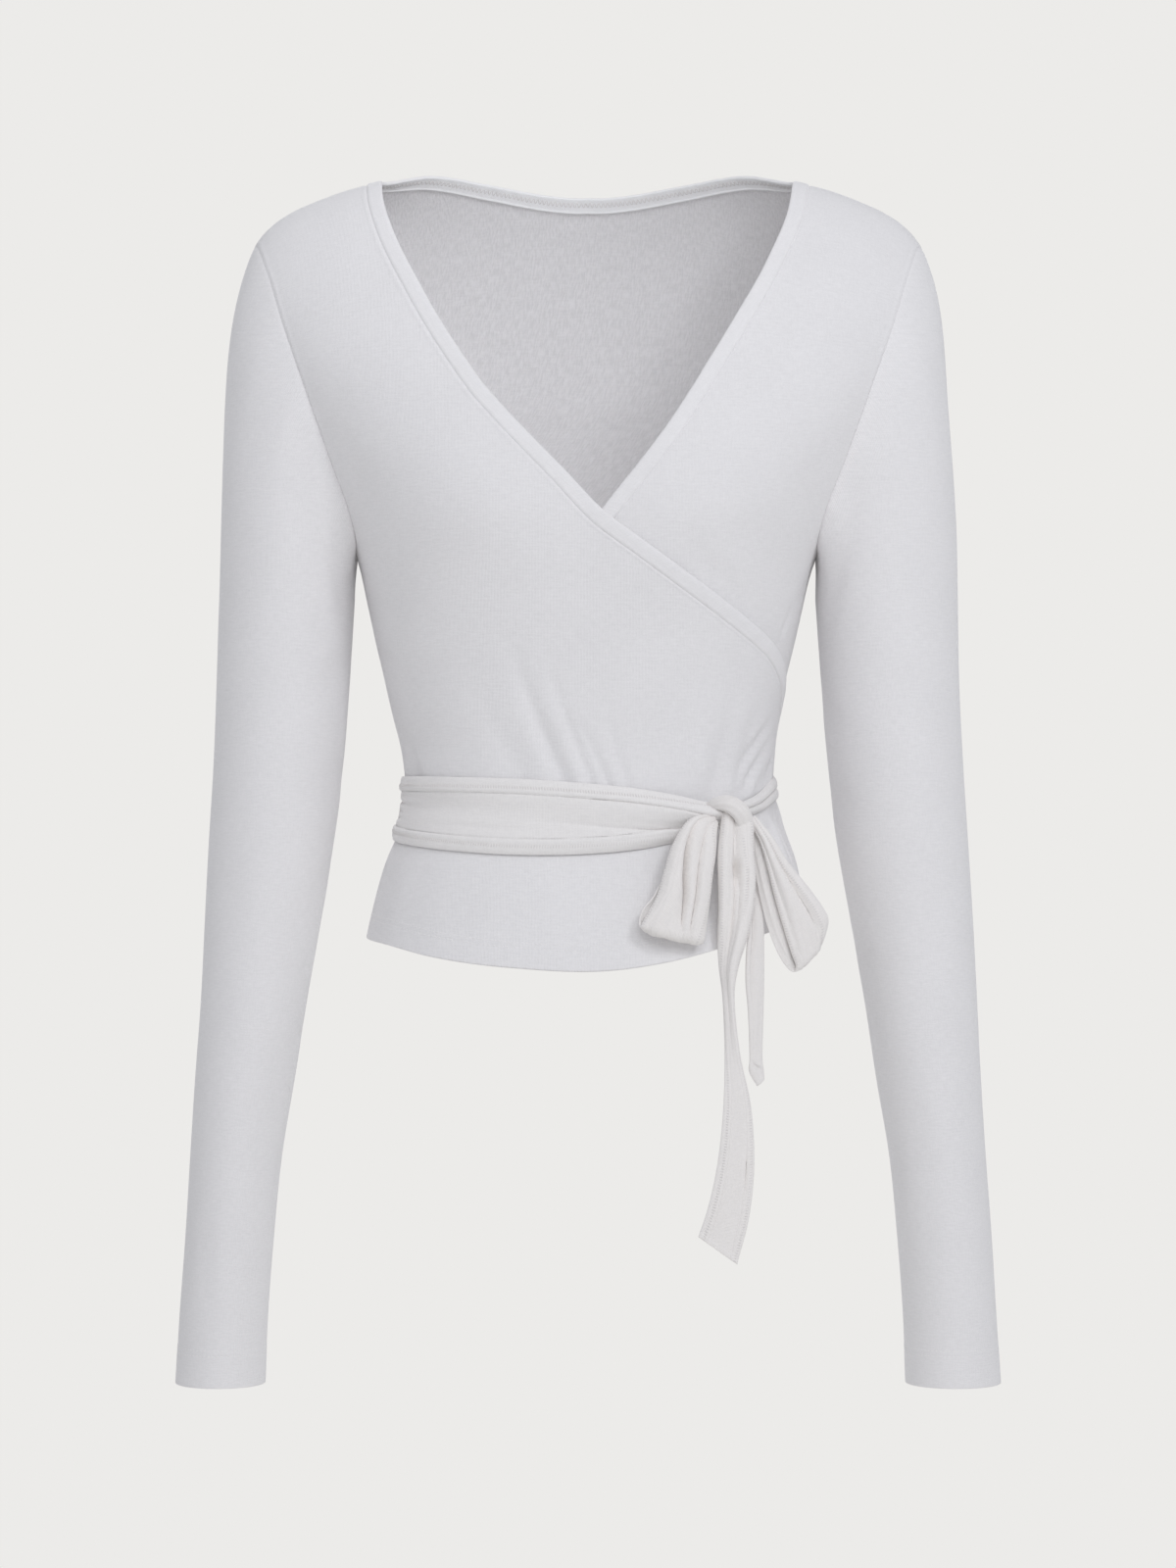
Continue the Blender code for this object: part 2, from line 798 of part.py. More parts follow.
def armhole_point(place, side):
    """A point of the sleeve's first ring, a seam's gap away from the body panels."""
    turn, level = armhole_place(place, side)
    ahead = skin(*armhole_place((place + 0.01) % 2, side))
    behind = skin(*armhole_place((place - 0.01) % 2, side))
    facing = normal(turn, level)
    aside = unit(np.cross(facing, ahead - behind))
    if side < 0:
        aside = -aside
    from_tip = min(place, 2 - place)
    lean = math.pi / 2 * from_tip**2
    if place > 1:
        out = 0.0
    else:
        out = under_layer(turn, level) if side > 0 else over_layer(turn, level)
    gap = SEAM / 2 * (math.cos(lean) * aside) + SEAM * math.sin(lean) * facing
    return skin(turn, level) + out * facing + gap


def section_point(level, angle, side):
    """A point of a level section of a sleeve: angle 0 is the outer side, 90 the front."""
    right_outer, right_inner, left_outer, left_inner, front_y, back_y = SLEEVE_LINE(level)
    outer_x, inner_x = (left_outer, left_inner) if side > 0 else (right_outer, right_inner)
    middle = (outer_x + inner_x) / 2
    x = middle + (outer_x - inner_x) / 2 * math.cos(angle)
    y = (front_y + back_y) / 2 - (back_y - front_y) / 2 * math.sin(angle)
    return np.array((side * x, y, level))


def sleeve(name, side):
    start = Line(SLEEVE_START)
    upper_arm = SLEEVE[-1][0]
    cuff = SLEEVE[0][0]
    rings = []
    top_ring = []
    for corner in range(SLEEVE_SIDES):
        place = 2 * corner / SLEEVE_SIDES
        from_tip = min(place, 2 - place)
        outward, down = start(from_tip)
        top_ring.append((place, armhole_point(place, side), unit(np.array((side * outward, 0, -down)))))
    for ring in range(CAP_RINGS):
        part = ring / CAP_RINGS
        square = part * part
        cube = square * part
        points = []
        for place, begin, leave in top_ring:
            end = section_point(upper_arm, math.pi * place, side)
            arrive = np.array((side * 0.02, 0, -1.0))
            reach = np.linalg.norm(end - begin)
            points.append(
                (2 * cube - 3 * square + 1) * begin
                + (cube - 2 * square + part) * reach * 0.8 * leave
                + (3 * square - 2 * cube) * end
                + (cube - square) * reach * arrive
            )
        rings.append(points)
    for ring in range(ARM_RINGS + 1):
        level = upper_arm + (cuff - upper_arm) * ring / ARM_RINGS
        rings.append([section_point(level, math.pi * place, side) for place, _, _ in top_ring])
    facing = grid_normals(rings, tube=True)
    outward = np.array(rings) - np.mean(np.array(rings), axis=1, keepdims=True)
    if np.sum(facing * outward) < 0:
        facing = -facing
    inner = np.array(rings) - CLOTH * facing
    wall(name, rings, inner, JERSEY, tube=True)


def make_sleeves():
    sleeve("sleeve_right", -1)
    sleeve("sleeve_left", 1)


# ---------------------------------------------------------------- bow
def ribbon(name, table, steps, columns, pleats):
    """A band through the rows of its table, pleated across and with a wall of its own."""
    line = Line([(index, *row) for index, row in enumerate(table)])
    flat = []
    heights = []
    for step in range(steps + 1):
        values = line((len(table) - 1) * step / steps)
        left = values[0:3]
        right = values[3:6]
        flat.append([left + (right - left) * column / columns for column in range(columns + 1)])
        waves = [math.sin(math.pi * pleats * column / columns) ** 2 for column in range(columns + 1)]
        heights.append([values[6] * wave for wave in waves])
    facing = grid_normals(flat)
    middle = np.array(flat) + facing * np.array(heights)[:, :, None]
    facing = grid_normals(middle)
    half = RIBBON_WALL / 2
    wall(name, middle + half * facing, middle - half * facing, JERSEY_LIGHT)


def band(name, table, steps, sides):
    """A rounded band swept along its table's path."""
    line = Line([(index, *row) for index, row in enumerate(table)])
    rings = []
    for step in range(steps + 1):
        place = (len(table) - 1) * step / steps
        values = line(place)
        run = line(min(place + 0.1, len(table) - 1)) - line(max(place - 0.1, 0))
        along = unit(run[0:3])
        out = unit(np.cross(along, np.cross(np.array((0.35, -1.0, 0.0)), along)))
        across = np.cross(along, out)
        ring = []
        for corner in range(sides):
            angle = 2 * math.pi * corner / sides
            ring.append(
                values[0:3]
                + across * values[3] * math.cos(angle)
                + out * values[4] * math.sin(angle)
            )
        rings.append(ring)
    points = [point for ring in rings for point in ring]
    faces = []
    for step in range(steps):
        for corner in range(sides):
            beside = (corner + 1) % sides
            a = step * sides + corner
            b = step * sides + beside
            faces.append((a, b, b + sides, a + sides))
    faces.append(tuple(reversed(range(sides))))
    faces.append(tuple(range(steps * sides, (steps + 1) * sides)))
    add_object(name, points, faces, JERSEY_LIGHT)


def make_bow():
    band("knot", KNOT, 12, 12)
    ribbon("loop_left", LOOP_LEFT, 27, 6, 2)
    ribbon("loop_right", LOOP_RIGHT, 27, 6, 2)
    ribbon("tail_long", TAIL_LONG, 22, 6, 2)
    ribbon("tail_short", TAIL_SHORT, 16, 3, 1)


def main():
    for old in list(bpy.data.objects):
        bpy.data.objects.remove(old)
    make_body()
    make_bindings()
    make_sash()
    make_sleeves()
    make_bow()


main()
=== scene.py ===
"""Looks of the jersey wrap top, built round its solids.

Every piece of cloth is a thin shell on the form of its solid, with its creases, turned hems,
seam grooves and stitches.  Sizes in the tables are millimetres and turns are degrees round the
body: 0 is the centre front, 90 the wearer's left side seam and 180 the centre back.
"""
import math

import bpy
import numpy as np
from bpy.props import FloatProperty, FloatVectorProperty, PointerProperty
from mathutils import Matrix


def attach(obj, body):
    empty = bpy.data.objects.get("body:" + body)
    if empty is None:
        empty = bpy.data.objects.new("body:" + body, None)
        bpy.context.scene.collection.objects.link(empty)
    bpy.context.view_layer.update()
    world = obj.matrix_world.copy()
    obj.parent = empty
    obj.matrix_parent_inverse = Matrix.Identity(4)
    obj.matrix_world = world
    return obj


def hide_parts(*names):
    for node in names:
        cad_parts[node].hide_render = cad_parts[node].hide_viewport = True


bl_info = {
    "name": "Jersey wrap top",
    "version": (1, 0, 0),
    "blender": (4, 5, 0),
    "location": "View3D > Sidebar > Wrap top",
    "description": "Makes the cloth, stitches and stage of a jersey wrap top with a bow",
    "category": "Object",
}

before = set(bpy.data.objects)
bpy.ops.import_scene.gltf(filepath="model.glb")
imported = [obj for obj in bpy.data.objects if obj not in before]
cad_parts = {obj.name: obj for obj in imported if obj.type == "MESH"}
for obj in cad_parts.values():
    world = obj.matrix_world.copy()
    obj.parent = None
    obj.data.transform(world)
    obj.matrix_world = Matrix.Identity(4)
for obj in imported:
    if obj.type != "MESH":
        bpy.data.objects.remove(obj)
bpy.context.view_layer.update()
BODY_NAME = "root"

MM = 0.001
SMALL = 1e-6

# ---------------------------------------------------------------- making
# As in the solids, but for the seams and the narrow stretch of the sash, which are finer here.
CLOTH = 1.0  # wall of a single panel
SEAM = 0.12  # what two pieces leave between them where they are sewn
OVER_OUT = 1.0  # what the outer front stands out of the form at the centre front
UNDER_IN = 1.6  # what the under front lies inside the form there
BINDING = 8.5  # width of the neck binding
BINDING_PROUD = 0.3  # what the binding stands out of the cloth on each side
SASH_WALL = 1.4
SASH_THIN_WALL = 0.9  # of its narrow stretch
SASH_CLEAR = 1.6  # what the sash stands off the cloth under it
RIBBON_WALL = 1.2  # loops and tails of the bow

# ---------------------------------------------------------------- form of the body
BREAK = -120.0  # above this level the body rounds in towards the shoulder seam
TOP = 68.0  # level of the shoulder seam, where a quarter turn from BREAK ends
SEAM_BACK = 8.0  # the shoulder seam lies this far behind the side seams
FULLNESS = 0.25  # how far a section is squarer than an ellipse
LAYER_FADE = 60.0  # below the shoulder seam, the height in which the fronts part

# level, half_width, front_depth, back_depth
BODY = (
    (-446, 129.5, 104.0, 97.0),
    (-426, 124.3, 101.0, 93.0),
    (-405, 119.6, 97.5, 87.5),
    (-383, 113.3, 93.0, 81.0),
    (-362, 104.8, 89.0, 77.0),
    (-340, 102.3, 88.0, 75.0),
    (-320, 104.4, 89.0, 76.0),
    (-300, 109.3, 92.0, 79.0),
    (-280, 113.8, 95.5, 83.5),
    (-260, 118.6, 99.5, 87.5),
    (-240, 123.0, 104.0, 91.0),
    (-215, 128.6, 109.0, 95.0),
    (-190, 138.0, 111.5, 98.0),
    (-162, 152.0, 108.5, 99.5),
    (-120, 172.5, 97.0, 98.0),
    (-76, 190.0, 81.0, 93.0),
    (-26, 203.0, 70.0, 86.0),
    (68, 215.0, 62.0, 75.0),
)

# Height of the shoulder line at a distance from the middle.
# across, height
RIDGE = (
    (0, 24.0),
    (60, 17.5),
    (90, 9.0),
    (104, 4.0),
    (115.5, 0.0),
    (135, -5.0),
    (153, -11.6),
    (167, -18.0),
    (177, -24.8),
    (183.5, -31.4),
    (188, -38.0),
    (193, -47.0),
)

# How much slimmer the wearer's left flank is than the right one, by level.
# level, slimmer
FLANK = (
    (-452, 0.0),
    (-342, 0.3),
    (-328, 1.1),
    (-317, 2.4),
    (-306, 3.8),
    (-295, 4.0),
    (-284, 3.4),
    (-251, 2.9),
    (-229, 2.7),
    (-205, 1.2),
    (-180, 0.0),
    (68, 0.0),
)
FLANK_TURN = 90.0
FLANK_WIDE = 32.0

# The bust: how far it stands out, where its fullest place lies and how wide and high it is.
BUST_OUT = 9.0
BUST_ACROSS = 72.0
BUST_LEVEL = -178.0
BUST_WIDE = 44.0
BUST_HIGH = 46.0

# ---------------------------------------------------------------- edges on the body
# turn, level
OVER_EDGE = (
    (-32.7, 68),
    (-33.1, 11),
    (-32.2, -21),
    (-28.3, -68),
    (-22.4, -107),
    (-14.7, -139),
    (-5.2, -168),
    (3.6, -191),
    (13.4, -207),
    (26.8, -226),
    (45.9, -248.5),
    (62.4, -264),
    (75.5, -278),
    (91, -303),
    (100, -335),
    (103, -375),
    (103, -411),
)
UNDER_EDGE = (
    (32.7, 68),
    (32.6, 0),
    (30.1, -47),
    (25.1, -88.5),
    (19.9, -119),
    (15.1, -145),
    (7.5, -175),
    (-1.2, -201),
    (-12, -218),
    (-28, -238),
    (-50, -262),
    (-69, -286),
    (-81, -318),
    (-85, -360),
    (-85, -421),
)
ARMHOLE_FRONT = (
    (61.3, 68),
    (61.8, -31),
    (62.8, -72),
    (64.2, -107),
    (66.1, -138),
    (68.8, -165),
    (71.6, -187),
    (75.8, -203),
    (90.0, -213),
)
# Back half of the armhole, with turns counted from the centre back.
ARMHOLE_BACK = (
    (61.3, 68),
    (63.8, -31),
    (66.1, -72),
    (68.2, -107),
    (70.0, -138),
    (72.5, -165),
    (76.5, -187),
    (81.5, -203),
    (90.0, -213),
)
# Half of the back's neck edge, from the wearer's left shoulder to the centre back.
BACK_NECK_HALF = (
    (147.3, 68),
    (147.6, 61),
    (149.0, 52),
    (151.6, 44),
    (154.8, 35),
    (158.6, 23),
    (162.9, 11),
    (168.6, 0.5),
    (174.8, -6.5),
    (180.0, -9.0),
)
BACK_NECK = BACK_NECK_HALF + tuple((360 - turn, level) for turn, level in BACK_NECK_HALF[-2::-1])
HEM = (
    (-90, -424.5),
    (-60, -428.0),
    (-43, -433.0),
    (-20, -438.3),
    (5, -440.0),
    (20, -435.5),
    (35, -428.5),
    (60, -418.0),
    (90, -412.0),
    (110, -413.0),
    (145, -421.0),
    (180, -427.0),
    (220, -428.0),
    (270, -424.5),
)

# ---------------------------------------------------------------- creases
# A crease runs from its first to its second end.  Bow bends it to one side, peak is the
# place along it where it is deepest, and a height below 0 makes it a trough.
# turn_1, level_1, turn_2, level_2, bow, width, height, peak
OVER_CREASES = (
    (-22, -248, -4, -348, 3.0, 5.0, -3.6, 0.80),
    (-12, -262, 4, -348, 2.0, 3.4, -2.6, 0.80),
    (-6, -286, 9, -348, 1.0, 2.8, -2.2, 0.80),
    (4, -286, 14, -348, 1.0, 3.0, -1.3, 0.80),
    (-36, -262, -15, -346, 4.0, 8.0, -1.2, 0.75),
    (27, -262, 37, -350, -2.0, 6.0, 1.8, 0.80),
    (45, -256, 39, -352, -3.0, 6.0, -1.8, 0.75),
    (60, -268, 43, -350, -4.0, 4.6, -1.3, 0.70),
    (77, -297, 45.5, -347, 6.5, 3.6, -3.8, 0.65),
    (58, -320, 46.5, -348, 3.0, 4.2, 3.0, 0.75),
    (77, -310, 52.5, -347, 4.5, 3.2, -3.8, 0.65),
    (70, -324, 57, -346, 2.0, 3.6, 2.4, 0.70),
    (87, -317, 66, -342, 1.5, 3.2, -3.6, 0.50),
    (-75, -285, -62, -345, 2.0, 7.0, -1.6, 0.80),
    (-86, -236, -50, -262, -8.0, 14.0, -1.8, 0.35),
    (-88, -262, -58, -290, -6.0, 12.0, -1.2, 0.30),
    (-60, -366, -64, -430, 0.0, 11.0, 1.3, 0.60),
    (-34, -372, -38, -438, 0.0, 14.0, -1.1, 0.55),
    (-8, -376, -8, -440, 0.0, 12.0, 1.0, 0.55),
    (18, -372, 20, -438, 0.0, 9.0, -1.1, 0.50),
    (62, -352, 65, -396, 1.0, 4.0, -3.4, 0.30),
    (70, -352, 75, -404, 1.5, 4.2, 5.0, 0.28),
    (78, -350, 83, -402, 1.0, 3.2, -5.4, 0.34),
    (90, -340, 93, -402, 0.0, 9.0, 4.6, 0.30),
    (-58, -120, -52, -196, 8.0, 15.0, -1.3, 0.60),
)
UNDER_CREASES = (
    (22, -196, 37, -232, 2.0, 6.0, -1.3, 0.70),
    (36, -214, 44, -244, 2.0, 3.5, -1.2, 0.60),
    (70, -238, 64, -268, 1.0, 3.2, -1.5, 0.45),
    (84, -226, 66, -252, 3.0, 5.0, -1.2, 0.40),
    (86, -262, 78, -300, 0.0, 6.0, -1.2, 0.50),
    (58, -120, 52, -196, -8.0, 15.0, -1.0, 0.60),
    (50, -200, 30, -214, 3.0, 10.0, -0.8, 0.50),
)
BACK_CREASES = (
    (128, -262, 140, -342, 3.0, 8.0, -3.2, 0.80),
    (143, -276, 150, -342, 2.0, 6.0, -2.7, 0.80),
    (158, -268, 161, -342, -2.0, 9.0, -2.1, 0.75),
    (176, -284, 174, -342, 1.0, 6.0, -1.9, 0.80),
    (192, -270, 188, -342, 2.0, 8.0, -2.4, 0.80),
    (209, -264, 201, -342, -3.0, 7.0, -3.2, 0.80),
    (222, -280, 213, -342, -2.0, 5.0, -2.4, 0.80),
    (238, -256, 226, -342, -4.0, 9.0, -3.0, 0.75),
    (255, -290, 243, -342, 0.0, 6.0, -2.1, 0.75),
    (113, -286, 122, -342, 2.0, 6.0, -2.6, 0.75),
    (108, -226, 150, -246, -10.0, 14.0, -2.4, 0.30),
    (250, -226, 212, -250, 10.0, 14.0, -2.2, 0.30),
    (128, -140, 140, -205, 6.0, 14.0, -1.8, 0.55),
    (232, -136, 219, -208, -7.0, 15.0, -1.9, 0.55),
    (150, -368, 147, -424, 0.0, 12.0, 1.9, 0.55),
    (178, -370, 182, -428, 0.0, 13.0, -1.8, 0.50),
    (205, -368, 209, -428, 0.0, 11.0, 1.6, 0.55),
    (235, -366, 240, -426, 0.0, 12.0, -1.6, 0.50),
    (118, -362, 114, -414, 0.0, 9.0, -1.9, 0.50),
)

# ---------------------------------------------------------------- sash
# The fold is the place, from the lower (0) to the upper edge (1), between the sash's two folds.
# turn, top, bottom, swell, fold
SASH_FRONT = (
    (-90, -334.5, -370.0, 0.0, 0.50),
    (-60, -334.5, -373.5, 0.4, 0.50),
    (-40, -335.0, -376.0, 0.8, 0.48),
    (-20, -336.0, -377.8, 1.4, 0.46),
    (0, -338.5, -377.2, 2.4, 0.42),
    (14, -341.0, -374.8, 3.6, 0.36),
    (27, -345.0, -370.5, 4.8, 0.27),
    (36, -349.0, -366.0, 5.0, 0.20),
    (42, -351.0, -363.5, 4.0, 0.18),
)
SASH_LEFT = (
    (47.5, -351.0, -359.0, 2.4, 0.50),
    (64, -344.0, -354.5, 1.2, 0.50),
    (76, -337.5, -350.0, 0.5, 0.50),
    (90, -334.5, -348.5, 0.0, 0.50),
    (104, -333.5, -352.0, 0.2, 0.50),
)
SASH_BACK = (
    (104, -333.5, -352.0, 0.2, 0.50),
    (125, -333.0, -364.5, 0.0, 0.50),
    (150, -333.0, -372.5, 0.0, 0.50),
    (180, -333.0, -374.5, 0.0, 0.50),
    (225, -334.0, -373.5, 0.0, 0.50),
    (270, -334.5, -370.0, 0.0, 0.50),
)
# Creases of the sash run between two turns, at places from its lower (0) to its upper edge (1).
# turn_1, place_1, turn_2, place_2, width, height, peak
SASH_CREASES = (
    (-106, 0.62, -52, 0.52, 0.055, -2.8, 0.24),
    (-104, 0.46, -60, 0.44, 0.050, -2.6, 0.26),
    (-100, 0.34, -66, 0.36, 0.045, -2.0, 0.30),
    (-96, 0.72, -44, 0.68, 0.040, -1.0, 0.40),
    (-98, 0.58, 10, 0.60, 0.150, -2.1, 0.45),
    (-62, 0.34, -6, 0.32, 0.060, -0.8, 0.55),
    (-14, 0.47, 36, 0.20, 0.035, -1.8, 0.75),
    (4, 0.62, 45, 0.46, 0.060, -0.5, 0.70),
    (16, 0.84, 45, 0.84, 0.060, -0.9, 0.70),
    (104, 0.52, 48, 0.50, 0.090, -1.5, 0.50),
    (106, 0.55, 150, 0.50, 0.060, -2.0, 0.30),
    (112, 0.38, 168, 0.44, 0.050, -1.4, 0.40),
    (160, 0.60, 214, 0.55, 0.060, -1.2, 0.50),
    (205, 0.40, 262, 0.46, 0.050, -1.8, 0.75),
    (228, 0.64, 278, 0.62, 0.050, -2.0, 0.80),
)

# ---------------------------------------------------------------- sleeves
# level, right_outer, right_inner, left_outer, left_inner, front_y, back_y
SLEEVE = (
    (-672.5, 229.6, 180.3, 229.8, 177.4, -52.0, 14.0),
    (-635, 227.5, 178.9, 227.5, 176.1, -51.5, 18.0),
    (-591, 224.4, 175.7, 225.0, 173.0, -51.0, 22.0),
    (-547, 221.9, 171.5, 221.9, 168.8, -50.5, 26.0),
    (-503, 219.3, 164.4, 219.3, 161.5, -50.0, 30.0),
    (-459, 216.2, 157.5, 217.3, 155.0, -49.0, 34.5),
    (-415, 214.1, 149.9, 215.2, 147.4, -48.0, 38.5),
    (-371, 212.0, 142.8, 212.6, 139.8, -48.5, 41.5),
    (-327, 209.5, 137.4, 209.9, 134.8, -49.0, 44.0),
    (-283, 207.9, 134.1, 207.8, 131.2, -49.5, 46.0),
    (-236, 206.6, 131.2, 207.0, 127.9, -50.0, 48.0),
)
# place, outward, down
SLEEVE_START = (
    (0.0, 0.40, 0.92),
    (0.35, 0.62, 0.78),
    (0.65, 0.62, 0.78),
    (0.88, 0.40, 0.92),
    (1.0, 0.16, 0.98),
)
# Angles of the sleeve's creases go from 0 at the outer side over 90 at the front.
# angle_1, height_1, angle_2, height_2, bow, width, lift, peak
RIGHT_SLEEVE_CREASES = (
    (0, -70, 0, -260, 0.0, 24.0, -2.2, 0.45),
    (122, -82, 100, -196, 4.0, 9.0, -1.6, 0.55),
    (100, -170, 136, -246, 4.0, 8.0, -1.5, 0.50),
    (128, -186, 158, -262, 3.0, 6.0, -1.5, 0.45),
    (60, -110, 52, -260, 5.0, 16.0, -0.9, 0.50),
    (178, -262, 120, -300, 5.0, 9.0, -1.2, 0.30),
    (196, -330, 110, -352, 6.0, 12.0, -1.3, 0.30),
    (190, -372, 130, -398, -5.0, 10.0, -1.0, 0.35),
    (70, -330, 62, -480, 4.0, 18.0, -0.8, 0.50),
    (110, -450, 128, -600, -5.0, 15.0, -0.8, 0.50),
    (186, -470, 130, -505, 4.0, 10.0, -0.8, 0.30),
    (250, -110, 280, -240, 5.0, 14.0, -1.5, 0.50),
    (215, -215, 262, -300, 4.0, 10.0, -1.5, 0.40),
    (200, -300, 262, -336, -5.0, 11.0, -1.6, 0.35),
    (196, -352, 258, -392, 5.0, 12.0, -1.4, 0.35),
    (300, -320, 292, -480, -5.0, 17.0, -0.9, 0.50),
    (240, -470, 270, -610, 5.0, 14.0, -0.9, 0.50),
    (60, -560, 85, -650, 3.0, 9.0, -0.7, 0.50),
)
LEFT_SLEEVE_CREASES = (
    (0, -50, 0, -215, 0.0, 24.0, -4.6, 0.45),
    (74, -56, 104, -128, 3.0, 7.0, -1.5, 0.45),
    (112, -120, 128, -214, -3.0, 8.0, -1.1, 0.55),
    (128, -196, 162, -268, 4.0, 7.0, -1.4, 0.40),
    (48, -130, 60, -270, -5.0, 16.0, -0.8, 0.50),
    (184, -280, 124, -312, -5.0, 9.0, -1.2, 0.30),
    (192, -340, 104, -372, 6.0, 12.0, -1.1, 0.30),
    (84, -350, 74, -500, 4.0, 17.0, -0.8, 0.50),
    (188, -420, 132, -452, 5.0, 11.0, -1.0, 0.35),
    (120, -480, 108, -620, 5.0, 14.0, -0.8, 0.50),
    (252, -120, 284, -250, -5.0, 14.0, -1.4, 0.50),
    (212, -222, 266, -296, 4.0, 10.0, -1.5, 0.40),
    (202, -316, 258, -352, 5.0, 11.0, -1.6, 0.35),
    (198, -372, 262, -404, -5.0, 12.0, -1.3, 0.35),
    (296, -340, 300, -500, 5.0, 17.0, -0.9, 0.50),
    (244, -500, 262, -630, -5.0, 14.0, -0.9, 0.50),
    (64, -566, 92, -648, 3.0, 9.0, -0.6, 0.50),
)

# ---------------------------------------------------------------- bow
# A loop runs from the knot down its front, round its lowest end and up again behind.
# The crown rounds the whole width and the gather is the depth of the strands.
# left_x, left_y, left_z, right_x, right_y, right_z, crown, gather
LOOP_LEFT = (
    (67.8, -88.0, -354.8, 70.4, -88.0, -361.2, 0.4, 0.6),
    (55.0, -95.5, -358.3, 69.8, -92.0, -366.5, 1.2, 1.8),
    (46.2, -101.0, -371.1, 69.2, -94.0, -376.1, 1.2, 4.6),
    (41.4, -104.4, -385.8, 67.5, -97.0, -388.2, 1.2, 6.4),
    (37.4, -107.4, -399.0, 65.8, -99.8, -402.5, 1.2, 6.2),
    (29.6, -110.8, -413.6, 63.4, -104.8, -420.2, 2.8, 2.4),
    (28.4, -111.2, -415.8, 62.8, -105.2, -423.6, 3.4, 0.8),
    (27.6, -110.0, -413.2, 62.4, -104.0, -424.8, 2.2, 0.2),
    (29.4, -108.0, -406.8, 62.4, -101.6, -421.7, 0.2, 0.0),
    (35.8, -105.8, -398.7, 63.2, -98.0, -410.5, 0.0, 0.0),
    (43.8, -101.0, -383.9, 64.9, -94.5, -389.3, 0.0, 0.0),
    (53.2, -94.5, -368.1, 67.2, -90.5, -371.8, 0.2, 0.0),
)
LOOP_RIGHT = (
    (88.0, -82.0, -359.4, 91.0, -80.5, -355.9, 0.4, 0.4),
    (93.6, -84.6, -370.2, 100.2, -84.0, -367.2, 0.8, 1.4),
    (97.6, -87.4, -383.4, 109.3, -86.0, -381.7, 1.0, 2.2),
    (101.0, -88.4, -397.8, 121.2, -86.2, -396.7, 1.2, 2.8),
    (105.4, -88.4, -413.4, 130.0, -85.4, -409.6, 1.4, 2.6),
    (110.6, -87.8, -430.2, 130.4, -82.5, -416.2, 2.4, 1.6),
    (113.4, -86.8, -438.4, 127.0, -81.5, -423.4, 3.0, 0.6),
    (110.8, -86.2, -440.8, 123.2, -81.5, -425.4, 1.4, 0.1),
    (104.5, -86.8, -433.1, 119.0, -82.6, -417.6, 0.0, 0.0),
    (98.2, -87.2, -418.2, 114.2, -84.0, -400.7, 0.0, 0.0),
    (93.6, -86.6, -400.5, 107.8, -84.0, -384.6, 0.0, 0.0),
    (90.2, -84.2, -381.8, 101.3, -82.4, -371.1, 0.0, 0.0),
    (88.4, -79.0, -366.0, 95.6, -77.0, -361.0, 0.0, 0.0),
)
TAIL_LONG = (
    (73.4, -86.0, -353.2, 89.8, -89.2, -356.6, 0.8, 2.4),
    (70.8, -95.0, -374.6, 90.2, -91.0, -374.8, 0.8, 3.0),
    (70.7, -97.5, -390.0, 91.0, -93.0, -390.2, 0.8, 3.8),
    (70.9, -98.5, -405.3, 89.8, -96.0, -405.5, 0.8, 3.8),
    (70.4, -98.5, -421.7, 86.6, -99.0, -421.8, 0.8, 3.0),
    (70.9, -98.5, -438.1, 81.7, -100.5, -438.2, 0.8, 1.6),
    (73.0, -98.5, -455.6, 79.6, -100.0, -455.7, 0.6, 0.9),
    (74.2, -98.5, -484.8, 82.4, -98.5, -484.9, 0.5, 0.3),
    (73.5, -101.5, -513.7, 88.4, -97.5, -513.9, 0.8, 0.1),
    (70.2, -102.5, -544.5, 90.2, -98.0, -544.8, 0.9, 0.0),
    (65.2, -103.0, -567.7, 87.4, -99.0, -573.8, 0.8, 0.0),
    (59.7, -103.0, -584.3, 80.8, -100.0, -599.5, 0.5, 0.0),
)
TAIL_SHORT = (
    (84.5, -77.0, -366.0, 88.0, -75.5, -366.0, 0.2, 0.2),
    (84.5, -83.0, -385.0, 90.5, -79.0, -385.0, 0.4, 0.3),
    (86.0, -88.0, -402.0, 94.0, -84.0, -402.0, 0.4, 0.5),
    (87.3, -91.0, -415.6, 95.5, -86.5, -415.7, 0.5, 0.7),
    (86.0, -94.5, -431.0, 95.7, -89.5, -431.2, 0.5, 0.8),
    (85.7, -96.0, -446.4, 95.6, -92.0, -446.6, 0.5, 0.8),
    (87.1, -96.5, -463.8, 95.2, -93.0, -464.0, 0.5, 0.6),
    (87.9, -96.5, -487.1, 94.6, -93.5, -487.2, 0.6, 0.3),
    (87.6, -96.5, -494.8, 95.3, -93.5, -494.0, 1.3, 0.0),
    (92.0, -96.0, -503.1, 95.5, -94.5, -499.8, 0.6, 0.0),
)
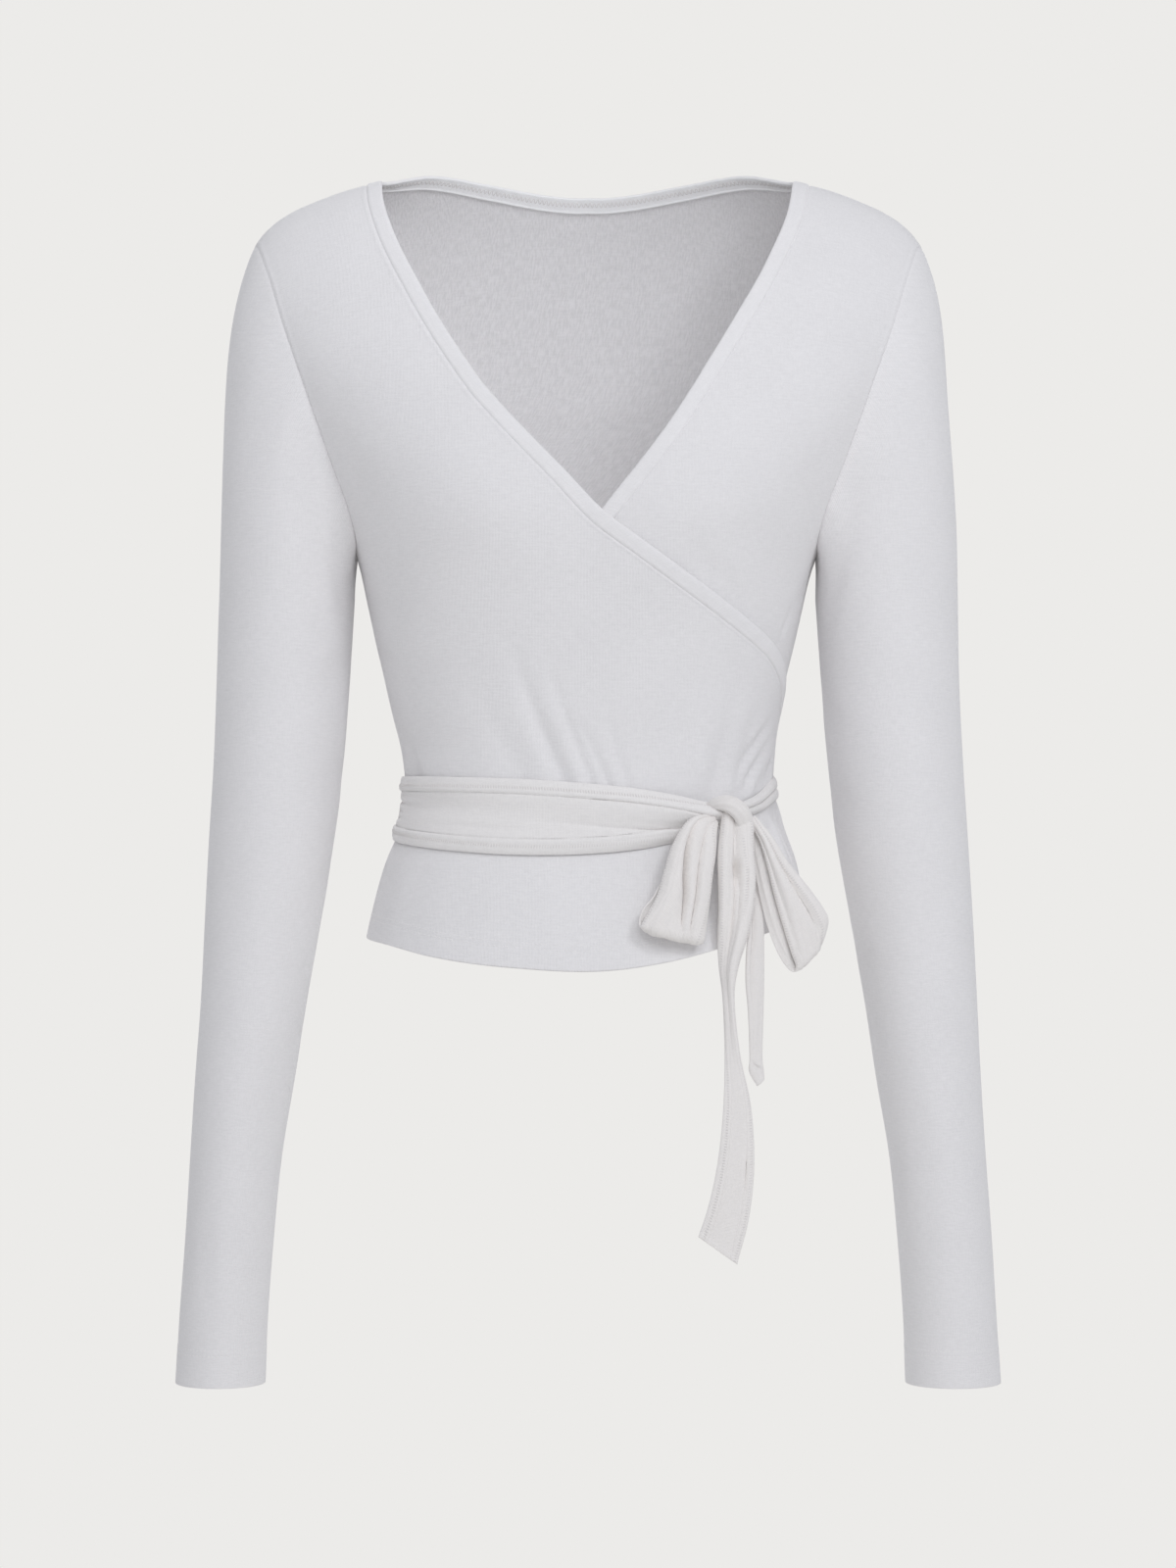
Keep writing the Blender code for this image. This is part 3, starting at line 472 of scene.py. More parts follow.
# A strand of a ribbon starts at a place across it (0 left, 1 right) in the first row, in the
# middle and in the row where the ribbon turns, and rises by a share of the gather.
# first_place, middle_place, last_place, rise
LOOP_LEFT_STRANDS = (
    (0.00, 0.00, 0.00, 1.0),
    (0.16, 0.37, 0.76, 0.8),
    (0.60, 0.65, 0.79, 0.9),
    (1.00, 1.00, 1.00, 0.0),
)
LOOP_RIGHT_STRANDS = (
    (0.00, 0.00, 0.00, 0.2),
    (0.20, 0.14, 0.10, 1.0),
    (0.62, 0.58, 0.86, 0.5),
    (1.00, 1.00, 1.00, 0.0),
)
TAIL_LONG_STRANDS = (
    (0.00, 0.00, 0.00, 0.9),
    (0.40, 0.42, 0.47, 0.1),
    (0.44, 0.58, 0.54, 1.0),
    (1.00, 1.00, 1.00, 0.0),
)
TAIL_SHORT_STRANDS = (
    (0.00, 0.00, 0.00, 0.6),
    (0.22, 0.20, 0.18, 1.0),
    (1.00, 1.00, 1.00, 0.0),
)
# Creases of a ribbon run between two of its rows, at places across it.
# row_1, place_1, row_2, place_2, width, height, peak
LOOP_LEFT_CREASES = (
    (1.0, 0.08, 4.6, 0.24, 2.6, -0.9, 0.5),
    (0.9, 0.19, 3.9, 0.46, 1.5, -2.8, 0.6),
    (2.8, 0.34, 5.5, 0.70, 1.4, -2.6, 0.4),
    (3.4, 0.26, 6.2, 0.34, 4.0, -1.0, 0.6),
    (4.4, 0.14, 6.2, 0.05, 2.0, -0.8, 0.6),
    (0.8, 0.61, 5.8, 0.79, 2.0, 2.6, 0.5),
    (1.4, 0.84, 5.4, 0.91, 3.0, -0.6, 0.5),
)
LOOP_RIGHT_CREASES = (
    (2.6, 0.40, 6.2, 0.52, 3.0, -1.1, 0.6),
    (3.2, 0.34, 6.6, 0.30, 1.8, -0.8, 0.6),
    (0.8, 0.55, 5.4, 0.76, 1.6, -1.0, 0.5),
    (6.8, 0.16, 12.6, 0.20, 3.4, -1.6, 0.5),
)
TAIL_LONG_CREASES = (
    (1.6, 0.52, 8.0, 0.56, 5.0, 3.0, 0.55),
    (0.2, 0.42, 3.6, 0.47, 1.2, -1.4, 0.4),
    (1.1, 0.47, 2.6, 0.47, 2.2, -4.4, 0.35),
    (2.0, 0.45, 6.0, 0.42, 1.8, -2.0, 0.4),
    (0.4, 0.24, 9.0, 0.20, 3.0, -3.8, 0.5),
    (0.6, 0.74, 4.6, 0.80, 2.2, -0.9, 0.5),
    (5.0, 0.72, 8.0, 0.66, 1.8, -1.0, 0.4),
    (7.6, 0.36, 10.6, 0.62, 3.4, -1.0, 0.5),
    (8.6, 0.76, 10.0, 0.84, 1.0, -1.1, 0.5),
    (9.4, 0.30, 11.4, 0.42, 4.0, -0.7, 0.6),
)
TAIL_SHORT_CREASES = (
    (0.6, 0.30, 6.6, 0.26, 1.4, -1.0, 0.5),
    (7.0, 0.05, 8.2, 0.95, 0.9, -1.4, 0.5),
    (5.0, 0.80, 7.4, 0.55, 1.4, -0.6, 0.5),
)
# x, y, z, across, deep
KNOT = (
    (64.2, -86.0, -351.4, 1.4, 1.2),
    (68.2, -88.8, -349.9, 3.0, 2.5),
    (73.0, -91.2, -349.2, 4.2, 3.2),
    (77.8, -92.8, -350.2, 4.9, 3.5),
    (81.8, -93.0, -352.9, 5.1, 3.5),
    (84.4, -91.8, -356.6, 5.1, 3.2),
    (85.6, -90.0, -360.9, 5.0, 2.8),
    (85.8, -88.6, -365.6, 4.8, 2.4),
    (85.9, -87.0, -370.2, 4.2, 1.8),
)

# ---------------------------------------------------------------- sewing
HEM_LINES = (11.4, 14.2)  # stitch lines above the hem
HEM_DEPTH = 14.8  # the turned hem reaches this far up
CUFF_LINES = (18.0, 21.0)
CUFF_DEPTH = 21.8
HEM_EXTRA = 0.3  # what a turned hem is thicker than the cloth
SASH_TURNED = 7.6  # the turned edges of the sash reach this far in
SASH_BARS = (4.2, 6.8)  # its bars lie between these distances from the edge
RIBBON_FULL = 22.0  # the turned edges of a ribbon are narrower where it is narrower than this
RIBBON_BARS = (2.8, 0.6)  # its bars lie between these distances inside the turned edge's end
ZIGZAG_LINES = (2.6, 6.4)  # distances of the zigzag's points from the free edge
STITCH = 2.5
STITCH_GAP = 0.7
BAR_PITCH = 1.5
BAR_START = 0.2  # share of the pitch before the first bar
BAR_SLANT = 0.3  # share of the pitch by which a bar leans
THREAD = 0.17
ZIGZAG_THREAD = 0.22
SASH_THREAD = 0.24
BOW_THREAD = 0.26
GROOVE = 0.8  # half width of the dent along a stitch line
GROOVE_DEEP = 0.16
ROLL = 1.3  # distance from a seam over which the cloth rolls in
ROLL_DEEP = 0.3
SEAM_RIDGE = 0.28  # the seam allowance inside lifts the cloth beside the seam
SEAM_RIDGE_AWAY = 2.0
EDGE_STEPS = (0.1, 0.3, 0.65, 1.1, 1.7, 2.5)


# ---------------------------------------------------------------- the form
def curve(part, start, leave, end, arrive):
    """A smooth run from start to end, which it leaves and reaches along the two slopes."""
    square = part * part
    cube = square * part
    return (
        (2 * cube - 3 * square + 1) * start
        + (cube - 2 * square + part) * leave
        + (3 * square - 2 * cube) * end
        + (cube - square) * arrive
    )


class Line:
    """A smooth line through the rows of a table: the first column in, the others out."""

    def __init__(self, rows):
        table = np.array(rows, dtype=float)
        self.places = table[:, 0]
        self.values = table[:, 1:]
        self.slopes = np.gradient(self.values, self.places, axis=0)

    def __call__(self, place):
        place = np.clip(place, self.places[0], self.places[-1])
        low = np.searchsorted(self.places, place, side="right") - 1
        low = np.clip(low, 0, len(self.places) - 2)
        high = low + 1
        span = self.places[high] - self.places[low]
        part = ((place - self.places[low]) / span)[..., None]
        rise = span[..., None] * self.slopes[low]
        next_rise = span[..., None] * self.slopes[high]
        return curve(part, self.values[low], rise, self.values[high], next_rise)


BODY_LINE = Line(BODY)
RIDGE_LINE = Line(RIDGE)
FLANK_LINE = Line(FLANK)
HEM_LINE = Line(HEM)
SLEEVE_LINE = Line(SLEEVE)
START_LINE = Line(SLEEVE_START)


def unit(vectors):
    return vectors / np.linalg.norm(vectors, axis=-1, keepdims=True)


def smooth(part):
    """0 below 0 and 1 above 1, with a soft step between them."""
    part = np.clip(part, 0.0, 1.0)
    return part * part * (3 - 2 * part)


def bell(place, middle=0.0, width=1.0):
    """1 at the middle, falling off softly to both sides over the width."""
    return np.exp(-(((place - middle) / width) ** 2))


def within(distance, depth, fade=1.0):
    """1 nearer than the depth and 0 beyond it, with a soft step as wide as the fade."""
    return smooth((depth - distance) / fade + 0.5)


def run_length(points):
    """Lengths along a line of points, from 0 at the first one."""
    steps = np.linalg.norm(np.diff(points, axis=0), axis=1)
    return np.concatenate(([0.0], np.cumsum(steps)))


def skin(turn, level):
    """Points of the body's form at turns and levels."""
    turn, level = np.broadcast_arrays(np.asarray(turn, float), np.asarray(level, float))
    half, front, back = np.moveaxis(BODY_LINE(level), -1, 0)
    half = half - FLANK_LINE(level)[..., 0] * bell(turn, FLANK_TURN, FLANK_WIDE)
    across = np.sin(np.radians(turn))
    ahead = np.cos(np.radians(turn))
    lean = np.maximum(level - BREAK, 0.0) / (TOP - BREAK) * np.pi / 2
    x = half * across
    ridge = RIDGE_LINE(np.abs(x))[..., 0]
    height = np.where(level > BREAK, BREAK + (ridge - BREAK) * np.sin(lean), level)
    depth = np.where(ahead > 0, front, back)
    y = SEAM_BACK * np.sin(lean) - depth * np.cos(lean) * ahead * (1 + FULLNESS * across**2)
    bust = bell(np.abs(x), BUST_ACROSS, BUST_WIDE) * bell(height, BUST_LEVEL, BUST_HIGH)
    y -= BUST_OUT * np.maximum(ahead, 0) * np.cos(lean) * bust
    return np.stack((x, y, height), axis=-1)


def slopes(turn, level):
    """How the form moves for one degree of turn and for one millimetre of level."""
    by_turn = skin(turn + 0.5, level) - skin(turn - 0.5, level)
    by_level = skin(turn, level + 0.5) - skin(turn, level - 0.5)
    return by_turn, by_level


def normal(turn, level):
    return unit(np.cross(*slopes(turn, level)))


def dot(first, second):
    return np.sum(first * second, axis=-1)


def moved(turn, level, step):
    """The turns and levels that lie a step (vectors along the form) away."""
    by_turn, by_level = slopes(turn, level)
    turn_square = dot(by_turn, by_turn)
    level_square = dot(by_level, by_level)
    both = dot(by_turn, by_level)
    turn_step = dot(by_turn, step)
    level_step = dot(by_level, step)
    whole = turn_square * level_square - both * both
    more_turn = (level_square * turn_step - both * level_step) / whole
    more_level = (turn_square * level_step - both * turn_step) / whole
    return turn + more_turn, level + more_level


EDGE_LOOK = 0.004  # share of an edge's length over which its direction is taken


class Edge:
    """A line on the form through rows of turn and level, run by its own length."""

    def __init__(self, rows):
        table = np.array(rows, dtype=float)
        places = run_length(skin(table[:, 0], table[:, 1]))
        self.length = places[-1]
        self.line = Line(np.column_stack((places, table)))

    def at(self, part):
        place = self.line(np.asarray(part, float) * self.length)
        return place[..., 0], place[..., 1]

    def inset(self, part, width):
        """The place beside the edge, to its left for a width over 0, seen from outside."""
        turn, level = self.at(part)
        before = skin(*self.at(np.maximum(part - EDGE_LOOK, 0.0)))
        after = skin(*self.at(np.minimum(part + EDGE_LOOK, 1.0)))
        aside = unit(np.cross(normal(turn, level), after - before))
        return moved(turn, level, np.asarray(width)[..., None] * aside)


def mirror_rows(rows):
    return tuple((-turn, level) for turn, level in rows)


def from_back(rows, side):
    return tuple((180 - side * turn, level) for turn, level in rows)


OVER = Edge(OVER_EDGE)
UNDER = Edge(UNDER_EDGE)
NECK = Edge(BACK_NECK)
ARM_EDGES = {
    (1, False): Edge(ARMHOLE_FRONT),
    (-1, False): Edge(mirror_rows(ARMHOLE_FRONT)),
    (1, True): Edge(from_back(ARMHOLE_BACK, 1)),
    (-1, True): Edge(from_back(ARMHOLE_BACK, -1)),
}

TURN_STEP = 2.0
LEVEL_STEP = 6.0
GIRTH_TURNS = np.arange(-104.0, 275.0, TURN_STEP)
GIRTH_LEVELS = np.arange(-452.0, 70.0, LEVEL_STEP)
LAST_CELL = 1.001  # keeps a place inside the last cell of the table of girths


def girth_table():
    """Lengths of the form's level lines from the centre front, by level and turn."""
    steps = np.diff(skin(GIRTH_TURNS[None, :], GIRTH_LEVELS[:, None]), axis=1)
    lengths = np.cumsum(np.linalg.norm(steps, axis=2), axis=1)
    lengths = np.concatenate((np.zeros((len(GIRTH_LEVELS), 1)), lengths), axis=1)
    return lengths - lengths[:, [int(np.argmin(np.abs(GIRTH_TURNS)))]]


GIRTH = girth_table()


def girth(turn, level):
    """Length along the form from the centre front to a turn, at a level."""
    turn, level = np.broadcast_arrays(np.asarray(turn, float), np.asarray(level, float))
    column = np.clip((turn - GIRTH_TURNS[0]) / TURN_STEP, 0, len(GIRTH_TURNS) - LAST_CELL)
    row = np.clip((level - GIRTH_LEVELS[0]) / LEVEL_STEP, 0, len(GIRTH_LEVELS) - LAST_CELL)
    below = row.astype(int)
    before = column.astype(int)
    up = row - below
    along = column - before
    low = GIRTH[below, before] * (1 - along) + GIRTH[below, before + 1] * along
    high = GIRTH[below + 1, before] * (1 - along) + GIRTH[below + 1, before + 1] * along
    return low * (1 - up) + high * up


# ---------------------------------------------------------------- cloth
# The cloth beside a crease goes the other way, by a share of its height and so much wider.
CLOTH_RIM = (0.4, 2.1)
SASH_RIM = (0.35, 2.2)


def furrow(beside, share, reach):
    """The form across a crease, by places beside it in half widths."""
    return bell(beside) - share * bell(beside, 0.0, reach)


def strength(part, peak):
    """Strength of a crease along it: 0 at its ends and 1 at its peak."""
    return np.where(part < peak, smooth(part / peak), smooth((1 - part) / (1 - peak)))


def creases(across, along, table, place_across):
    """How far creases lift cloth whose points lie at lengths across and along it."""
    lift = np.zeros(np.shape(across))
    for first, start, last, stop, bow, width, height, peak in table:
        begin = np.array((place_across(first, start), start), float)
        end = np.array((place_across(last, stop), stop), float)
        length = np.linalg.norm(end - begin)
        run = (end - begin) / length
        part = ((across - begin[0]) * run[0] + (along - begin[1]) * run[1]) / length
        beside = (across - begin[0]) * run[1] - (along - begin[1]) * run[0]
        beside = (beside - 4 * bow * part * (1 - part)) / width
        lift += height * strength(part, peak) * furrow(beside, *CLOTH_RIM)
    return lift


def spaced(length, step, fine_start=True, fine_stop=True):
    """Places from 0 to 1 along a length, a step apart, with finer ones near its ends."""
    edge = EDGE_STEPS[-1]
    start = edge if fine_start else 0.0
    stop = length - (edge if fine_stop else 0.0)
    places = np.linspace(start, stop, max(2, round((stop - start) / step) + 1))
    if fine_start:
        places = np.concatenate(([0.0], EDGE_STEPS[:-1], places))
    if fine_stop:
        places = np.concatenate((places, [length - gap for gap in reversed(EDGE_STEPS[:-1])], [length]))
    return places / length


def from_edges(points):
    """Distances of a grid's points from its first and last row and first and last column."""
    along = np.linalg.norm(np.diff(points, axis=0), axis=2)
    across = np.linalg.norm(np.diff(points, axis=1), axis=2)
    row = np.concatenate((np.zeros((1, points.shape[1])), np.cumsum(along, axis=0)))
    column = np.concatenate((np.zeros((points.shape[0], 1)), np.cumsum(across, axis=1)), axis=1)
    return row, row[-1] - row, column, column[:, -1:] - column


def grid_normals(points, tube=False):
    along = np.gradient(points, axis=0)
    if tube:
        across = np.roll(points, -1, axis=1) - np.roll(points, 1, axis=1)
    else:
        across = np.gradient(points, axis=1)
    return unit(np.cross(across, along))


LIP_REACH = 0.6  # share of the wall's thickness over which an open edge is rounded
LIP_LEFT = 0.2  # share of the wall that is left at the edge itself


def lip(distance, wall):
    """Share of the wall's thickness that is left near an open edge, to round it."""
    part = np.clip(distance / (LIP_REACH * wall), 0.0, 1.0)
    return LIP_LEFT + (1 - LIP_LEFT) * np.sqrt(1 - (1 - part) ** 2)


def grid_faces(rows, columns, tube):
    """Corner indices of a wall between two grids, and the matching indices of its map."""
    across = columns if tube else columns - 1
    row, column = np.mgrid[0 : rows - 1, 0:across]
    row = row.ravel()
    column = column.ravel()
    beside = column + 1
    width = columns + 1 if tube else columns
    behind = rows * columns

    def corners(r, c):
        return r * columns + c % columns

    def spots(r, c):
        return r * width + c

    faces = []
    maps = []

    def add(places, back_flags):
        faces.append(
            np.stack([corners(r, c) + behind * b for (r, c), b in zip(places, back_flags)], axis=1)
        )
        maps.append(np.stack([spots(r, c) for r, c in places], axis=1))

    face = [(row, column), (row, beside), (row + 1, beside), (row + 1, column)]
    add(face, (0, 0, 0, 0))
    add([face[0], face[3], face[2], face[1]], (1, 1, 1, 1))
    line = np.arange(across)
    first = np.zeros(across, int)
    last = first + rows - 1
    add([(first, line), (first, line), (first, line + 1), (first, line + 1)], (0, 1, 1, 0))
    add([(last, line + 1), (last, line + 1), (last, line), (last, line)], (0, 1, 1, 0))
    if not tube:
        line = np.arange(rows - 1)
        first = np.zeros(rows - 1, int)
        last = first + columns - 1
        add([(line + 1, first), (line + 1, first), (line, first), (line, first)], (0, 1, 1, 0))
        add([(line, last), (line, last), (line + 1, last), (line + 1, last)], (0, 1, 1, 0))
    return np.concatenate(faces), np.concatenate(maps)


def turned_outwards(points, faces, spots):
    """The four-cornered faces of a closed wall, and their map's indices, facing outwards."""
    corners = [points[faces[:, k]] for k in range(4)]
    volume = np.sum(corners[0] * np.cross(corners[1], corners[2]))
    volume += np.sum(corners[0] * np.cross(corners[2], corners[3]))
    if volume < 0:
        return faces[:, ::-1], spots[:, ::-1]
    return faces, spots


def make_object(name, points, faces, corner_map=None):
    """A smooth mesh from points in millimetres, with the places of its corners laid flat."""
    mesh = bpy.data.meshes.new(name)
    mesh.from_pydata((points * MM).tolist(), [], faces)
    if corner_map is not None:
        layer = mesh.uv_layers.new(name="cloth")
        layer.data.foreach_set("uv", (corner_map * MM).ravel())
    mesh.shade_smooth()
    made = bpy.data.objects.new(name, mesh)
    bpy.context.scene.collection.objects.link(made)
    return made


class Cloth:
    """A cloth piece: a grid of middle points, a wall thickness at each and its flat map."""

    def __init__(self, name, middle, wall, flat_map, outward, tube=False):
        self.name = name
        self.tube = tube
        self.facing = grid_normals(middle, tube)
        if np.sum(self.facing * outward) < 0:
            self.facing = -self.facing
        self.outer = middle + self.facing * wall[..., None] / 2
        self.inner = middle - self.facing * wall[..., None] / 2
        rows, columns = middle.shape[:2]
        points = np.concatenate((self.outer.reshape(-1, 3), self.inner.reshape(-1, 3)))
        faces, spots = turned_outwards(points, *grid_faces(rows, columns, tube))
        corner_map = flat_map.reshape(-1, 2)[spots.ravel()]
        self.object = make_object(name, points, faces.tolist(), corner_map)
        each = (rows - 1) * (columns if tube else columns - 1)
        reverse = np.zeros(len(faces), int)
        reverse[each : 2 * each] = 1
        self.object.data.polygons.foreach_set("material_index", reverse)
        self.edges = from_edges(self.outer)

    def line(self, edge, distance, inside=False, full=0.0):
        """Points and normals at a distance from an edge: 0 and 1 the first and last row."""
        field = self.edges[edge]
        grid = self.inner if inside else self.outer
        facing = -self.facing if inside else self.facing
        if edge > 1:
            field = field.T
            grid = np.swapaxes(grid, 0, 1)
            facing = np.swapaxes(facing, 0, 1)
        if edge % 2:
            field = field[::-1]
            grid = grid[::-1]
            facing = facing[::-1]
        columns = np.arange(field.shape[1])
        if full:
            distance = distance * np.minimum(1.0, field[-1] / full)
        high = np.clip(np.argmax(field >= distance, axis=0), 1, None)
        low = high - 1
        span = field[high, columns] - field[low, columns]
        part = ((distance - field[low, columns]) / np.maximum(span, SMALL))[:, None]
        points = grid[low, columns] * (1 - part) + grid[high, columns] * part
        normals = unit(facing[low, columns] * (1 - part) + facing[high, columns] * part)
        if self.tube and edge < 2:
            points = np.concatenate((points, points[:1]))
            normals = np.concatenate((normals, normals[:1]))
        return points, normals


# ---------------------------------------------------------------- stitches
THREAD_SIDES = 5
# Along a thread: place, thickness and rise of its rings, in its length and its radius.
THREAD_RINGS = ((-0.5, 0.35, -0.9), (-0.25, 1.0, 0.35), (0.25, 1.0, 0.35), (0.5, 0.35, -0.9))


def read_along(table, places, where):
    """Rows of three values, read at lengths between the places of the table's rows."""
    return np.stack([np.interp(where, places, table[:, k]) for k in range(3)], axis=1)


class Sewing:
    """Stitches collected for one object."""

    def __init__(self):
        self.points = []
        self.faces = []
        self.count = 0

    def threads(self, starts, ends, normals, radius):
        """One small thread from each start to its end, dipping into the cloth at both."""
        middle = (starts + ends) / 2
        span = ends - starts
        length = np.linalg.norm(span, axis=1, keepdims=True)
        along = span / length
        beside = unit(np.cross(normals, along))
        up = np.cross(along, beside)
        rings = []
        for place, thick, rise in THREAD_RINGS:
            centre = middle + along * length * place + up * radius * rise
            for side in range(THREAD_SIDES):
                angle = 2 * math.pi * side / THREAD_SIDES
                spoke = beside * math.cos(angle) + up * math.sin(angle)
                rings.append(centre + spoke * radius * thick)
        points = np.stack(rings, axis=1)
        base = self.count + np.arange(len(starts))[:, None] * points.shape[1]
        last = (len(THREAD_RINGS) - 1) * THREAD_SIDES
        faces = []
        for ring in range(0, last, THREAD_SIDES):
            for side in range(THREAD_SIDES):
                here = ring + side
                beside_it = ring + (side + 1) % THREAD_SIDES
                faces.append((here, beside_it, beside_it + THREAD_SIDES, here + THREAD_SIDES))
        faces.append(tuple(reversed(range(THREAD_SIDES))))
        faces.append(tuple(range(last, last + THREAD_SIDES)))
        for face in faces:
            self.faces.extend((base + np.array(face)).tolist())
        self.points.append(points.reshape(-1, 3))
        self.count += points.shape[0] * points.shape[1]

    def row(self, line):
        """A straight row of stitches along a line of points and normals."""
        points, normals = line
        places = run_length(points)
        count = max(1, int(places[-1] / STITCH))
        starts = np.arange(count) * places[-1] / count
        ends = starts + (places[-1] / count - STITCH_GAP)
        facing = unit(read_along(normals, places, starts))
        self.threads(
            read_along(points, places, starts), read_along(points, places, ends), facing, THREAD
        )

    def zigzag(self, line, other):
        """A zigzag between two lines of the same cloth."""
        points, normals = line
        places = run_length(points)
        count = int(places[-1] / STITCH) * 2
        where = np.linspace(0, places[-1], count + 1)
        even = (np.arange(count + 1) % 2 == 0)[:, None]
        first = read_along(points, places, where)
        track = np.where(even, first, read_along(other[0], places, where))
        facing = unit(read_along(normals, places, where))[:-1]
        self.threads(track[:-1], track[1:], facing, ZIGZAG_THREAD)

    def bars(self, line, other, radius):
        """Short slanted threads across a turned edge, from one line to the other."""
        points, normals = line
        places = run_length(points)
        count = int(places[-1] / BAR_PITCH)
        where = (np.arange(count) + BAR_START) * places[-1] / count
        ends = read_along(other[0], places, where + BAR_SLANT * BAR_PITCH)
        facing = unit(read_along(normals, places, where))
        self.threads(read_along(points, places, where), ends, facing, radius)

    def make(self, name):
        return make_object(name, np.concatenate(self.points), self.faces)


# ---------------------------------------------------------------- materials
class Value:
    """A number in a material, so that shader maths reads as Python."""

    def __init__(self, tree, socket):
        self.tree = tree
        self.socket = socket

    def math(self, operation, *others):
        return self.tree.node(
            "ShaderNodeMath", {"operation": operation}, dict(enumerate((self, *others)))
        ).out(0)

    def __add__(self, other):
        return self.math("ADD", other)

    __radd__ = __add__

    def __mul__(self, other):
        return self.math("MULTIPLY", other)

    __rmul__ = __mul__

    def __sub__(self, other):
        return self.math("SUBTRACT", other)

    def __rsub__(self, other):
        return (self * -1.0) + other


class Node:
    def __init__(self, tree, node):
        self.tree = tree
        self.node = node

    def out(self, key):
        return Value(self.tree, self.node.outputs[key])


class Tree:
    """The nodes of one material."""

    def __init__(self, name):
        self.material = bpy.data.materials.new(name)
        self.material.use_nodes = True
        self.nodes = self.material.node_tree.nodes
        self.links = self.material.node_tree.links
        self.shader = self.nodes["Principled BSDF"]

    def node(self, kind, settings, sockets):
        """A node of a kind, with its settings made first and then its sockets."""
        made = self.nodes.new(kind)
        for key, value in settings.items():
            setattr(made, key, value)
        for key, value in sockets.items():
            self.set(made.inputs[key], value)
        return Node(self, made)

    def set(self, socket, value):
        if isinstance(value, Value):
            self.links.new(value.socket, socket)
        else:
            socket.default_value = value


# Sizes of the yarn's noises in metres, along a row and along a rib.
SLUB_SIZE = (0.0060, 0.0011)
RIB_SIZE = (0.0010, 0.0048)
# Scales of the noises that make the ribs wander, the fuzz, the clouds and the thread's twist.
WANDER_SCALE = 90.0
FUZZ_SCALE = 1400.0
CLOUD_SCALE = 28.0
TWIST_SCALE = 900.0
YARN_RELIEF = 0.00022
WALE_SWAY = 2.2  # how far the ribs wander, as an angle of their wave
COURSE_SWAY = 1.2
RELIEF_SHARES = (0.4, 0.12, 1.6, 0.7)  # of loops, rows, yarn and fuzz
TONE_SHARES = (1.1, 0.06, 0.8, 0.5)  # of yarn, loops, fuzz and clouds
DEEP_TONE = 0.93
LIGHT_TONE = 1.035
JERSEY_ROUGH = 0.9
JERSEY_ROUGH_SPREAD = 0.12
THREAD_LIGHT_TONE = 1.05


def mixed(values, shares):
    """The sum of some values of a material, each times its share."""
    parts = [value * share for value, share in zip(values, shares)]
    return sum(parts[1:], parts[0])


def jersey(name, colour, sizes, slub, rib):
    """Fine jersey: ribs of loops along V, slubs of thicker yarn along U, a matt nap."""
    tree = Tree(name)
    place = tree.node("ShaderNodeUVMap", {"uv_map": "cloth"}, {}).out(0)
    split = tree.node("ShaderNodeSeparateXYZ", {}, {0: place})
    across = split.out(0)
    along = split.out(1)

    def noise(vector, scale, detail):
        sockets = {"Vector": vector, "Scale": scale, "Detail": detail}
        return tree.node("ShaderNodeTexNoise", {}, sockets).out(0)

    def yarn_noise(wide, tall):
        """Noise drawn out along the rows or along the ribs, by its lengths in metres."""
        sockets = {0: across * (1 / wide), 1: along * (1 / tall)}
        return noise(tree.node("ShaderNodeCombineXYZ", {}, sockets).out(0), 1.0, 2.5)

    wander = noise(place, WANDER_SCALE, 2.0)
    loops = (across * (2 * math.pi / sizes.wale) + wander * WALE_SWAY).math("SINE")
    courses = (along * (2 * math.pi / sizes.course) + loops * COURSE_SWAY).math("SINE")
    slubs = yarn_noise(*SLUB_SIZE)
    ribs = yarn_noise(*RIB_SIZE)
    fuzz = noise(place, FUZZ_SCALE, 2.0)
    cloud = noise(place, CLOUD_SCALE, 3.0)
    yarn = slubs * slub + ribs * rib - (slub + rib) / 2
    height = mixed((loops, courses, yarn, fuzz), RELIEF_SHARES)
    bump = tree.node(
        "ShaderNodeBump",
        {},
        {"Strength": sizes.relief, "Distance": YARN_RELIEF, "Height": height},
    ).out(0)
    tone = mixed((yarn, loops, fuzz - 0.5, cloud - 0.5), TONE_SHARES) + 0.5
    deep = tuple(channel * DEEP_TONE for channel in colour)
    light = tuple(min(1.0, channel * LIGHT_TONE) for channel in colour)
    paint = tree.node(
        "ShaderNodeMix",
        {"data_type": "RGBA"},
        {0: tone.math("MINIMUM", 1.0).math("MAXIMUM", 0.0), 6: (*deep, 1.0), 7: (*light, 1.0)},
    ).out(2)
    tree.set(tree.shader.inputs["Base Color"], paint)
    tree.set(tree.shader.inputs["Roughness"], yarn * JERSEY_ROUGH_SPREAD + JERSEY_ROUGH)
    tree.set(tree.shader.inputs["Normal"], bump)
    tree.shader.inputs["Specular IOR Level"].default_value = 0.2
    tree.shader.inputs["Sheen Weight"].default_value = sizes.nap
    tree.shader.inputs["Sheen Roughness"].default_value = 0.6
    return tree.material


def thread_finish(name, colour):
    """Spun polyester thread, a little glossier than the cloth."""
    tree = Tree(name)
    place = tree.node("ShaderNodeTexCoord", {}, {}).out("Object")
    twist = tree.node("ShaderNodeTexNoise", {}, {"Vector": place, "Scale": TWIST_SCALE}).out(0)
    pale = tuple(channel * THREAD_LIGHT_TONE for channel in colour)
    paint = tree.node(
        "ShaderNodeMix", {"data_type": "RGBA"}, {0: twist, 6: (*colour, 1.0), 7: (*pale, 1.0)}
    ).out(2)
    tree.set(tree.shader.inputs["Base Color"], paint)
    tree.shader.inputs["Roughness"].default_value = 0.55
    return tree.material


